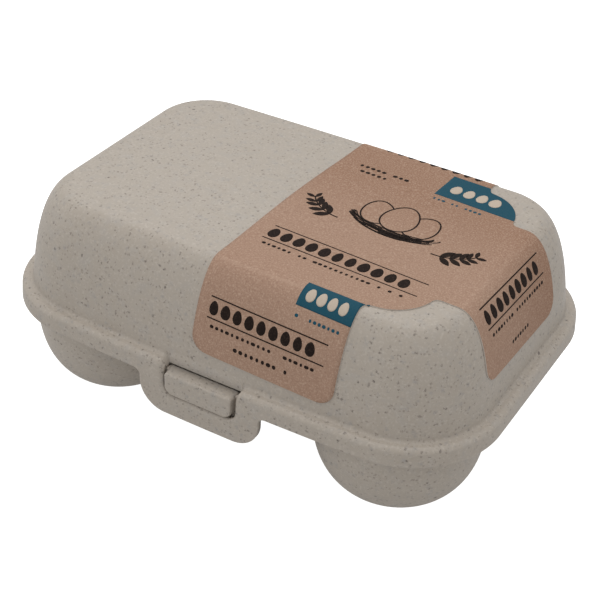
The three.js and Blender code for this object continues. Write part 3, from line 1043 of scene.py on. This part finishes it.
def on_lid(flat_points, lift):
    """Points of the label's plane laid on the lid, a lift above its surface."""
    u, v = np.asarray(flat_points, float).T
    p = u * math.cos(LABEL_TURN) - v * math.sin(LABEL_TURN)
    q = u * math.sin(LABEL_TURN) + v * math.cos(LABEL_TURN)
    end_start = HALF_LENGTH - LEDGE - WALL_INSET
    side_start = HALF_WIDTH + side_bow(p, TOP_Z) - LEDGE - WALL_INSET
    past_end = np.abs(p) - end_start
    past_side = np.abs(q) - side_start
    reach_x, height_x = down_wall(np.clip(past_end, 0, None), lift)
    reach_y, height_y = down_wall(np.clip(past_side, 0, None), lift)
    over_end, over_side = past_end > 0, (past_side > 0) & (past_end <= 0)
    x = np.where(over_end, np.sign(p) * (end_start + reach_x), p)
    bulge = side_bow(p, height_y) - side_bow(p, TOP_Z)
    y = np.where(over_side, np.sign(q) * (side_start + reach_y + bulge), q)
    z = TOP_Z + crown_height(p, q) + lift
    z = np.where(over_end, height_x, np.where(over_side, height_y, z))
    return np.column_stack([x, y, z])


print(f"the wall is {wall_run[-1]:.1f} mm from foot to top")

# %% The label's outline
LEFT, FLAP_RIGHT = -2.3, 43.35
PANEL_HALF, FLAP_END = 35.6, 67.8
END_HALF, END_REACH = 22.8, 89.5
FLAP_CORNER = 5.0
ARC_U, PANEL_CORNER = 44.5, 13.1          # middle and radius of the panel's round corner
ARC_V = PANEL_HALF - PANEL_CORNER
NOTCH_RADIUS = 2.4                        # fillets on both sides of that corner
FILLET_RADIUS = 2.0
PAPER_LOW, PAPER_HIGH = 0.05, 0.3         # the paper's two sides above the lid

# Each fillet touches the corner's arc from outside, so their middles are both radii apart.
NOTCH_U = FLAP_RIGHT + NOTCH_RADIUS
NOTCH_V = ARC_V + math.sqrt((PANEL_CORNER + NOTCH_RADIUS) ** 2 - (NOTCH_U - ARC_U) ** 2)
NOTCH_END = ARC_U + (NOTCH_U - ARC_U) * PANEL_CORNER / (PANEL_CORNER + NOTCH_RADIUS)
FILLET_V = END_HALF + FILLET_RADIUS
FILLET_U = ARC_U + math.sqrt((PANEL_CORNER + FILLET_RADIUS) ** 2 - (FILLET_V - ARC_V) ** 2)
ARC_END = ARC_U + (FILLET_U - ARC_U) * PANEL_CORNER / (PANEL_CORNER + FILLET_RADIUS)


def panel_half(u):
    """Half the panel's width at a distance u: straight, round corner, fillet, end flap."""
    corner = ARC_V + np.sqrt(PANEL_CORNER**2 - np.clip(u - ARC_U, 0, ARC_END - ARC_U) ** 2)
    before = np.clip(FILLET_U - u, 0, FILLET_U - ARC_END)
    fillet = FILLET_V - np.sqrt(FILLET_RADIUS**2 - before**2)
    return np.where(u < ARC_END, corner, fillet)


def notch_edge(u):
    """Outer edge of the small fillet between a side flap and the panel's rounded corner."""
    off = np.clip(NOTCH_U - u, NOTCH_U - NOTCH_END, NOTCH_RADIUS)
    return NOTCH_V - np.sqrt(NOTCH_RADIUS**2 - off**2)


def round_off(before):
    inside_corner = np.clip(FLAP_CORNER - before, 0, FLAP_CORNER)
    return FLAP_CORNER - np.sqrt(FLAP_CORNER**2 - inside_corner**2)


def steps_between(start, end, spacing):
    return np.linspace(start, end, max(2, round(abs(end - start) / spacing) + 1))


print(f"label {END_REACH - LEFT:.1f} x {2 * FLAP_END:.1f} mm when flat")

# %% Grids that make one flat sheet
def sheet_grid(columns, rows, place):
    """A flat grid of quads; `place` turns a column and a row value into (u, v)."""
    points = np.array([place(column, row) for column in columns for row in rows])
    height = len(rows)
    faces = []
    for i in range(1, len(columns)):
        for j in range(1, height):
            here = i * height + j
            faces.append((here - height - 1, here - 1, here, here - height))
    return points, faces


def merge_sheets(sheets):
    """Joins flat grids along the points that they share."""
    index, points, faces = {}, [], []
    for sheet_points, sheet_faces in sheets:
        keys = [tuple(np.round(point, 3)) for point in sheet_points]
        for key, point in zip(keys, sheet_points):
            if key not in index:
                index[key] = len(points)
                points.append(point)
        for face in sheet_faces:
            ring = list(dict.fromkeys(index[keys[i]] for i in face))
            if len(ring) > 2:
                faces.append(tuple(ring))
    return np.array(points), faces


print("grids merge where their points meet")

# %% The label as one flat sheet
def to_corner(end):
    """Values up to an end that get closer together over its rounded corner."""
    return end - FLAP_CORNER * (1 - np.sin(arc(10)[1:]))


def label_sheets():
    """Grids for the panel and its flaps, finest where the outline curves."""
    margin = PANEL_HALF - 5
    edge_rows = steps_between(margin, PANEL_HALF, 0.45)[1:]
    across = np.concatenate([
        -edge_rows[::-1], steps_between(-margin, margin, 1.4), edge_rows]) / PANEL_HALF
    side_columns = steps_between(0, 1, 0.035)
    width = FLAP_RIGHT - LEFT
    notch_columns = FLAP_RIGHT + (NOTCH_END - FLAP_RIGHT) * np.linspace(0, 1, 11) ** 1.6
    angles = [math.asin((u - ARC_U) / PANEL_CORNER) for u in (NOTCH_END, ARC_END)]
    arc_columns = np.concatenate([
        notch_columns, ARC_U + PANEL_CORNER * np.sin(np.linspace(*angles, 24)[1:]),
    ])
    end_columns = np.concatenate([
        ARC_END + (FILLET_U - ARC_END) * np.linspace(0, 1, 9) ** 1.6,
        steps_between(FILLET_U, 72, 0.45)[1:],
        steps_between(72, END_REACH - FLAP_CORNER, 1.0)[1:], to_corner(END_REACH),
    ])
    notch_rows = steps_between(PANEL_HALF, NOTCH_V, 0.4)
    notch_shares = (notch_rows - PANEL_HALF) / (NOTCH_V - PANEL_HALF)
    fine_rows = steps_between(NOTCH_V, PANEL_HALF + 12, 0.4)[1:]
    coarse_rows = steps_between(fine_rows[-1], FLAP_END - FLAP_CORNER, 1.0)[1:]
    flap_rows = np.concatenate([notch_rows, fine_rows, coarse_rows, to_corner(FLAP_END)])

    def on_flap(s, v):
        cut = round_off(FLAP_END - abs(v))
        return LEFT + cut + s * (width - 2 * cut), v

    sheets = [
        sheet_grid(side_columns, across, lambda s, t: (LEFT + s * width, t * PANEL_HALF)),
        sheet_grid(arc_columns, across, lambda u, t: (u, t * panel_half(u))),
        sheet_grid(end_columns, across,
                   lambda u, t: (u, t * (panel_half(u) - round_off(END_REACH - u)))),
    ]
    for side in (-1, 1):
        sheets.append(sheet_grid(notch_columns, np.sort(side * notch_shares), lambda u, t: (
            u, side * (panel_half(u) + abs(t) * (notch_edge(u) - panel_half(u))))))
        sheets.append(sheet_grid(side_columns, np.sort(side * flap_rows), on_flap))
    return sheets


flat_label, label_faces = merge_sheets(label_sheets())
print("label:", len(flat_label), "points flat")

# %% [markdown]
# ## Paper and print finishes
# Kraft paper is brown with fine pale and dark fibres and hardly any gloss. Along each fold
# it has a pale line, partly a real crease and partly a painted highlight on the bend. The
# fold lines and a slow change of colour follow the sheet, so those masks read the label's
# own UV map, which holds the flat place of every point in decimetres.

# %% Kraft paper
KRAFT = (0.352, 0.223, 0.158)
KRAFT_TOWARDS_BACK = (0.294, 0.172, 0.113)
KRAFT_PALE = (0.52, 0.37, 0.28)
KRAFT_DARK = (0.22, 0.13, 0.09)
PAPER_EDGE = (0.62, 0.56, 0.50)
FLAT_UNIT = 100.0
SIDE_CREASE, END_CREASE = 39.7, 65.2


def crease_and_highlight_mask(tree, coordinate, at, width):
    """A soft line across the sheet where a coordinate has a value in millimetres."""
    away = math_node(tree, "ABSOLUTE", math_node(tree, "SUBTRACT", coordinate, at / FLAT_UNIT))
    return math_node(tree, "SUBTRACT", 1.0,
                     math_node(tree, "DIVIDE", away, width / FLAT_UNIT), clamp=True)


def kraft_paper():
    material, tree, shader, place = new_material("kraft_paper", KRAFT, 0.88)
    flat_place = add_node(tree, "ShaderNodeUVMap", {}, uv_map="sheet").outputs["UV"]
    u, v, _ = add_node(tree, "ShaderNodeSeparateXYZ", {0: flat_place}).outputs
    colour = blend_colour(tree, KRAFT, KRAFT_TOWARDS_BACK, spread(tree, v, -0.08, 0.2))
    for tint, amount, size, high in (
        (KRAFT_DARK, 0.40, 0.0006, 0.7), (KRAFT_PALE, 0.55, 0.00045, 0.68),
    ):
        colour = blend_colour(tree, colour, tint, cloud(tree, place, size, 0.48, high), amount)
    for tint, amount, pitch, size in (
        (KRAFT_DARK, 0.7, 0.0016, 0.00030), (KRAFT_PALE, 0.6, 0.0013, 0.00026),
    ):
        fibres = place_group(tree, flecks, place, {
            "Pitch": pitch, "Size": size, "Share": 0.5, "Softness": 0.8, "Ragged": 1.6,
        })
        colour = blend_colour(tree, colour, tint, fibres, amount)
    patchy = cloud(tree, place, 0.004, 0.3, 0.7)
    across = math_node(tree, "ADD", v, product(tree, u, math.sin(LABEL_TURN)))
    # Pale lines along the folds: partly a real crease, partly a painted highlight on the bend.
    for coordinate, at, amount in (
        (across, -SIDE_CREASE, 0.5), (across, SIDE_CREASE, 0.5), (u, END_CREASE, 0.2),
    ):
        line = product(tree, crease_and_highlight_mask(tree, coordinate, at, 0.9), patchy)
        colour = blend_colour(tree, colour, KRAFT_PALE, line, amount)
    plug(tree, shader["Base Color"], colour)
    add_grain(tree, shader, place, 0.002, 0.0003, 0.3, 0.6)
    return material


kraft = kraft_paper()
paper_edge = new_material("paper_edge", PAPER_EDGE, 0.9, gloss=0.5)[0]
print("paper finishes made")

# %% Print on kraft
def printed(name, colour, roughness, show_through):
    """Print on kraft: a flat colour that lets a little of the paper's grain through."""
    material, tree, shader, place = new_material(name, colour, roughness, gloss=0.1)
    grains = cloud(tree, place, 0.0005, 0.5, 0.85)
    plug(tree, shader["Base Color"], blend_colour(tree, colour, KRAFT, grains, show_through))
    add_grain(tree, shader, place, 0.002, 0.0003, 0.2, 0.5)
    return material


ink = printed("dark_print", (0.014, 0.008, 0.006), 0.7, 0.10)
teal = printed("teal_print", (0.012, 0.070, 0.104), 0.6, 0.05)
pale_ink = printed("pale_print", (0.50, 0.42, 0.34), 0.7, 0.2)
print("three print finishes made")

# %% Lay the label on the lid
def laid_sheet(name, flat_points, faces, low, high, material):
    """A flat sheet laid on the lid as a thin closed solid."""
    points, solid = thin_solid(on_lid(flat_points, high), on_lid(flat_points, low), faces)
    piece = mesh_object(name, points, solid)
    piece.data.materials.append(material)
    piece.data.shade_smooth()
    return piece


def add_flat_map(piece, flat_points):
    """A UV map that holds each point's place on the flat sheet."""
    layer = piece.data.uv_layers.new(name="sheet")
    places = np.vstack([flat_points, flat_points]) / FLAT_UNIT
    corners = np.empty(len(piece.data.loops), dtype=int)
    piece.data.loops.foreach_get("vertex_index", corners)
    layer.data.foreach_set("uv", places[corners].ravel())


label = laid_sheet("paper_label", flat_label, label_faces, PAPER_LOW, PAPER_HIGH, kraft)
add_flat_map(label, flat_label)
label.data.materials.append(paper_edge)
cut_faces = len(open_rim(label_faces))
for polygon in list(label.data.polygons)[-cut_faces:]:
    polygon.material_index = 1
    polygon.use_smooth = False
print("label laid:", len(label.data.polygons), "faces")

# %% [markdown]
# ## The print
# The label carries a generic print in three colours: rows of eggs between thin rules, rows
# of small dashes, eggs in a nest between two sprigs, and teal fields with pale eggs. Rows
# of marks repeat by a rule, so a Geometry Nodes tree sets them out: points on a line, some
# dropped to make groups, and a mark on each with a seeded random width.

# %% Shapes of the marks
PRINT_LOW, PRINT_HIGH = 0.29, 0.33        # the print's two sides above the lid
MARK_RINGS = np.linspace(1, 0.25, 4)


def egg_outline(width, height, steps=20):
    """An egg standing on its blunt end, centred on its middle."""
    angles = np.linspace(0, 2 * math.pi, steps + 1)[:-1]
    narrow = 1 - 0.16 * np.sin(angles)
    return np.column_stack([
        0.5 * width * np.cos(angles) * narrow, 0.5 * height * np.sin(angles),
    ])


def bar_shape(width, height):
    """A short bar with round ends."""
    r, half = height / 2, width / 2
    return np.vstack([arc_points((half - r, 0), r, -90, 90, 5),
                      arc_points((r - half, 0), r, 90, 270, 5)])


def stroke(line, width, closed):
    """A line of an even width, as a strip of quads."""
    rails = [offset_rows(line, closed, side, [width / 2]) for side in (1, -1)]
    count = len(line)
    last = count if closed else count - 1
    faces = [(i + count, (i + 1) % count + count, (i + 1) % count, i) for i in range(last)]
    return np.vstack(rails), faces


def turned(points, angle):
    """Flat points turned counter-clockwise by an angle in degrees."""
    c, s = math.cos(math.radians(angle)), math.sin(math.radians(angle))
    return points @ np.array([[c, s], [-s, c]])


print("a bar has", len(bar_shape(1.5, 1)), "points and an egg", len(egg_outline(3, 4)))

# %% The tree that sets out rows of marks
def row_tree():
    """Marks on a line of points, some of them dropped, each of a random width."""
    tree, given, result = new_tree("row_of_marks", "GeometryNodeTree", [
        ("Mark", "Object"), ("Count", "Int"), ("Pitch", "Float"), ("Dropped", "Float"),
        ("Narrowest", "Float"), ("Seed", "Int"), ("Finish", "Material"),
    ], [("Mesh", "Geometry")])
    step = add_node(tree, "ShaderNodeCombineXYZ", {"X": given["Pitch"]})
    line = add_node(tree, "GeometryNodeMeshLine", {
        "Count": given["Count"], "Offset": step.outputs["Vector"],
    })
    drop = add_node(tree, "FunctionNodeRandomValue", {
        "Probability": given["Dropped"], "Seed": given["Seed"],
    }, data_type="BOOLEAN")
    left = add_node(tree, "GeometryNodeDeleteGeometry", {
        "Geometry": line.outputs["Mesh"], "Selection": drop.outputs[3],
    })
    width = add_node(tree, "FunctionNodeRandomValue", {
        2: given["Narrowest"], "Seed": given["Seed"],
    }, data_type="FLOAT")
    size = add_node(tree, "ShaderNodeCombineXYZ", {"X": width.outputs[1], "Y": 1.0, "Z": 1.0})
    mark = add_node(tree, "GeometryNodeObjectInfo", {"Object": given["Mark"]})
    place = add_node(tree, "GeometryNodeInstanceOnPoints", {
        "Points": left.outputs["Geometry"], "Instance": mark.outputs["Geometry"],
        "Scale": size.outputs["Vector"],
    })
    finish_mesh(tree, given, result, place.outputs["Instances"])
    return tree


marker = row_tree()


def mark_row(shape, length, pitch, dropped, narrowest, seed):
    """Flat points and faces of one row of marks, from the left end of its line."""
    points, faces = filled(shape, MARK_RINGS)
    mark = mesh_object("mark", np.column_stack([points, np.zeros(len(points))]), faces)
    row = run_tree("row", marker, {
        "Mark": mark, "Count": int(length / pitch), "Pitch": pitch * MM, "Dropped": dropped,
        "Narrowest": narrowest, "Seed": seed, "Finish": ink,
    })
    points = np.array([vertex.co[:2] for vertex in row.data.vertices]).reshape(-1, 2) / MM
    faces = [tuple(polygon.vertices) for polygon in row.data.polygons]
    for used in (mark, row):
        bpy.data.objects.remove(used)
    return points + (pitch / 2, 0), faces


print("row tree:", [item.name for item in marker.interface.items_tree])

# %% Collecting print in sheets of one colour
class Print:
    """All marks of one colour, gathered flat and laid on the label at the end."""

    def __init__(self):
        self.points, self.faces = np.zeros((0, 2)), []

    def add(self, shape, at=(0, 0), turn=0):
        points, faces = shape
        offset = len(self.points)
        self.points = np.vstack([self.points, turned(points, turn) + at])
        self.faces += [tuple(i + offset for i in face) for face in faces]

    def lay(self, name, material, lift=0.0):
        piece = laid_sheet(name, self.points, self.faces,
                           PRINT_LOW + lift, PRINT_HIGH + lift, material)
        tidy_mesh(piece, weld=0.0005)
        piece.data.materials.clear()
        piece.data.materials.append(material)
        return piece


dark, light, fields = Print(), Print(), Print()
print("three sheets of print started")

# %% Bands of eggs
RULE_GAP, RULE_WIDTH = 1.0, 0.38


def band(at, turn, length, height, seed, rules=(0, 1)):
    """A row of eggs with thin rules under and over it, and small dashes below it."""
    block = Print()
    egg = egg_outline(0.74 * height, height)
    block.add(mark_row(egg, length - 1, 0.92 * height, 0.0, 0.8, seed),
              (0.5, 0.5 * height + RULE_GAP))
    for rule in rules:
        v = rule * (height + 2 * RULE_GAP)
        block.add(stroke(straight((0, v), (length, v), 0.8), RULE_WIDTH, False))
    dashes = mark_row(bar_shape(1.5, 0.95), length - 4, 1.7, 0.15, 0.45, seed + 1)
    block.add(dashes, (2.0, -2.3))
    dark.add((block.points, block.faces), at, turn)


def small_row(sheet, at, turn, length, height, seed):
    """A row of small dashes, some dropped so that it falls in groups."""
    dash = bar_shape(1.25 * height, height)
    sheet.add(mark_row(dash, length, 1.5 * height, 0.12, 0.55, seed), at, turn)


# Each row gives its start, its turn, its length, its height and its seed.
band((2.4, -25.0), 0, 51.5, 4.6, 3)
band((0.6, -56.6), 0, 39, 4.2, 5)
band((75.0, -19.0), 90, 38, 4.2, 8)
band((40.2, 44.6), 180, 39, 4.2, 11, rules=(0,))
small_row(dark, (11.0, -63.0), 0, 19, 1.2, 21)
small_row(dark, (31.0, 62.6), 180, 19, 1.2, 22)
small_row(dark, (84.8, -6.5), 90, 13, 1.1, 23)
print(len(dark.faces), "faces of dark print so far")

# %% Sprigs
STEM_WIDTH, STEM_STEPS = 0.45, 20


def leaf_shape(length, width, steps=12):
    """A leaf with its stalk end at the origin, lying along u."""
    t = np.linspace(0, 1, steps)
    half = 0.5 * width * np.sin(math.pi * t) ** 0.8
    upper = np.column_stack([t * length, half])
    return np.vstack([upper, (upper * (1, -1))[-2:0:-1]])


def sprig(root, side, length=14.0, leaves=5):
    """A curved stem with pairs of leaves that get smaller towards its tip."""
    stem = ellipse_arc((0, length), length, length, -90, -34, STEM_STEPS)
    part = Print()
    part.add(stroke(stem, STEM_WIDTH, False))
    for i in range(leaves):
        t = int((0.24 + 0.72 * i / (leaves - 1)) * STEM_STEPS)
        along = math.degrees(math.atan2(*(stem[min(t + 1, STEM_STEPS)] - stem[t - 1])[::-1]))
        size = (0.36 - 0.032 * i) * length
        for lean in (-44, 44):
            leaf = leaf_shape(size, 0.42 * size)
            middle = leaf.mean(axis=0)
            points, faces = filled(leaf - middle, MARK_RINGS)
            part.add((points + middle + (0.06, 0), faces), stem[t], along + lean)
    faces = part.faces if side > 0 else [face[::-1] for face in part.faces]
    dark.add((part.points * (side, 1), faces), root)


print("a leaf has", len(leaf_shape(5, 2)), "points")

# %% Nest with eggs between two sprigs
EGG_LINE, STRAW = 0.5, 0.4


def add_runs(line, shown, width):
    """Strokes along the stretches of a closed line that are shown."""
    start = int(np.argmin(shown))
    line, shown = np.roll(line, -start, axis=0), np.roll(shown, -start)
    breaks = np.flatnonzero(np.diff(shown.astype(int))) + 1
    for run, visible in zip(np.split(line, breaks), np.split(shown, breaks)):
        if visible[0] and len(run) > 2:
            dark.add(stroke(run, width, False))


def nest(centre):
    """Three eggs in a nest of loose strokes."""
    draw = np.random.default_rng(7)
    middle = np.array(centre)
    front_egg = egg_outline(10.8, 14.2, 60) + middle + (0, 3.2)
    dark.add(stroke(front_egg, EGG_LINE, True))
    for side in (-1, 1):
        egg = turned(egg_outline(9.8, 12.8, 60), -18 * side) + middle + (7.2 * side, 2.6)
        add_runs(egg, ~inside(egg, front_egg), EGG_LINE)
    for _ in range(44):
        half_u, half_v = draw.uniform(12.5, 15.5), draw.uniform(3.6, 7.4)
        start, sweep_angle = draw.uniform(183, 310), draw.uniform(24, 70)
        straw = ellipse_arc(middle, half_u, half_v, start, min(start + sweep_angle, 357), 14)
        dark.add(stroke(straw, STRAW, False))


nest((30.5, 2.6))
sprig((46.0, -4.6), 1)
sprig((15.4, -4.6), -1)
for row, length, seed in ((26.6, 19, 24), (23.4, 13, 25)):
    small_row(dark, (4.0, row), 0, length, 1.3, seed)
print(len(dark.faces), "faces of dark print")

# %% Teal fields with pale eggs
TEAL_LOW, TEAL_HIGH = 25.0, 37.9
FRONT_TEAL_LOW, FRONT_TEAL_HIGH = -43.6, -36.2


def label_edge(u):
    """Where the label ends past a side flap, a hair inside its edge."""
    return float(notch_edge(u) if u < NOTCH_END else panel_half(u)) - 0.03


def field(columns, low_of, high_of, spacing=0.45):
    """A filled field between two edges that are functions of u."""
    rows = steps_between(0, 1, spacing / (high_of(columns[0]) - low_of(columns[0])))
    return sheet_grid(columns, rows, lambda u, t: (
        u, low_of(u) + t * (high_of(u) - low_of(u))))


corner_end = ARC_U + math.sqrt(PANEL_CORNER**2 - (TEAL_LOW - ARC_V) ** 2) - 0.05
round_columns = np.concatenate([
    steps_between(31.0, FLAP_RIGHT, 0.6),
    FLAP_RIGHT + (corner_end - FLAP_RIGHT) * steps_between(0, 1, 0.02)[1:] ** 0.7,
])
fields.add(field(round_columns, lambda u: TEAL_LOW, lambda u: min(TEAL_HIGH, label_edge(u))))
fields.add(field(steps_between(26.2, FLAP_RIGHT - 0.03, 0.6),
                 lambda u: FRONT_TEAL_LOW, lambda u: FRONT_TEAL_HIGH))
fields.add(field(steps_between(FLAP_RIGHT - 0.02, 45.0, 0.12),
                 lambda u: -label_edge(u), lambda u: FRONT_TEAL_HIGH, 0.2))
light.add(mark_row(egg_outline(2.9, 3.9), 15, 3.4, 0.0, 0.9, 51), (27.6, -39.9))
light.add(mark_row(egg_outline(3.7, 4.9), 18, 4.3, 0.0, 0.9, 52), (33.4, 30.7))
small_row(fields, (26.8, -46.2), 0, 15, 0.95, 26)
small_row(fields, (31.6, 22.6), 0, 17, 1.0, 27)

dark_print = dark.lay("dark_marks", ink)
teal_print = fields.lay("teal_fields", teal)
pale_print = light.lay("pale_marks", pale_ink, lift=PRINT_HIGH - PRINT_LOW - 0.01)

# %% [markdown]
# ## Everything rides on the one body
# The shut box has no joint, so all pieces ride on the root. Each of the lid, base and label
# hides the CAD node that it stands for.

# %% Tie the pieces to the frame
for piece, node, slot in ((lid, "lid", "lid_plastic"), (base, "base", "base_plastic"),
                          (label, "label", "label_paper")):
    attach(piece, "root")
    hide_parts(node)
for piece, slot in ((dark_print, "label_ink"), (teal_print, "label_teal"),
                    (pale_print, "label_paper")):
    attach(piece, "root")
print("pieces tied to the frame")

# %% [markdown]
# ## Floor, light and camera
# A pale floor, a bright even world and three soft lamps, as in a product photograph. Floor
# and world glow more for the camera than they light the box, which gives a white ground.
# The camera stands where the photograph was taken from, found by fitting the box's outline.

# %% Floor and light
FLOOR, FLOOR_SHADE = (0.5, 0.5, 0.5), (0.48, 0.48, 0.48)
FLOOR_GLOW, WORLD_GLOW = 0.225, 0.64
LAMP_SIZE, LAMP_AIM = 0.7, Vector((0, 0, 0.03))


def glow(tree, lighting, seen):
    """A strength that lights the scene by one value and shows the camera another."""
    path = tree.nodes.new("ShaderNodeLightPath")
    extra = math_node(tree, "MULTIPLY", path.outputs["Is Camera Ray"], seen - lighting)
    return math_node(tree, "ADD", extra, lighting)


def pale_floor(half=3000):
    corners = [(-half, -half, 0), (half, -half, 0), (half, half, 0), (-half, half, 0)]
    floor = mesh_object("floor", corners, [(0, 1, 2, 3)])
    material, tree, shader, place = new_material("floor_white", FLOOR, 0.8, gloss=0.2)
    soft = cloud(tree, place, 0.4, 0.3, 0.7)
    plug(tree, shader["Base Color"], blend_colour(tree, FLOOR, FLOOR_SHADE, soft))
    plug(tree, shader["Emission Color"], (1, 1, 1))
    plug(tree, shader["Emission Strength"], glow(tree, FLOOR_GLOW, 1.0))
    floor.data.materials.append(material)


def soft_light(name, place, power):
    """A round lamp that looks at the box."""
    light_data = bpy.data.lights.new(name, "AREA")
    light_data.shape = "DISK"
    light_data.size = LAMP_SIZE
    light_data.energy = power
    lamp = bpy.data.objects.new(name, light_data)
    bpy.context.scene.collection.objects.link(lamp)
    lamp.location = place
    lamp.rotation_euler = (LAMP_AIM - Vector(place)).to_track_quat("-Z", "Y").to_euler()


pale_floor()
soft_light("overhead", (0, 0, 1.2), 4.5)
soft_light("back_left", (-0.545, 0.545, 0.92), 2.0)
soft_light("low_left", (-1.0, -0.58, 0.31), 1.2)
world = bpy.data.worlds.new("studio")
bpy.context.scene.world = world
world.use_nodes = True
backdrop = world.node_tree.nodes["Background"].inputs
plug(world.node_tree, backdrop["Color"], (1, 1, 1))
plug(world.node_tree, backdrop["Strength"], glow(world.node_tree, WORLD_GLOW, 1.0))
bpy.context.scene.view_settings.view_transform = "Standard"
print("floor, three lamps and a bright world set")

# %% Camera
AZIMUTH, ELEVATION, TURN = 29.69, 35.0, 2.3
DISTANCE = 421.8
AIM = Vector((5.31, -7.69, 35.9))
LENS = 83.7


def photo_camera():
    azimuth, elevation, turn = map(math.radians, (AZIMUTH, ELEVATION, TURN))
    back = Vector((math.sin(azimuth) * math.cos(elevation),
                   -math.cos(azimuth) * math.cos(elevation), math.sin(elevation)))
    right = Vector((math.cos(azimuth), math.sin(azimuth), 0))
    up = back.cross(right)
    tilted_right = math.cos(turn) * right + math.sin(turn) * up
    tilted_up = math.cos(turn) * up - math.sin(turn) * right
    camera = bpy.data.objects.new("camera", bpy.data.cameras.new("camera"))
    bpy.context.scene.collection.objects.link(camera)
    stand = Matrix((tilted_right, tilted_up, back)).transposed().to_4x4()
    stand.translation = (AIM + back * DISTANCE) * MM
    camera.matrix_world = stand
    camera.data.lens = LENS
    camera.data.clip_start = 0.01
    bpy.context.scene.camera = camera
    return camera


print("camera at", tuple(round(value, 3) for value in photo_camera().location))
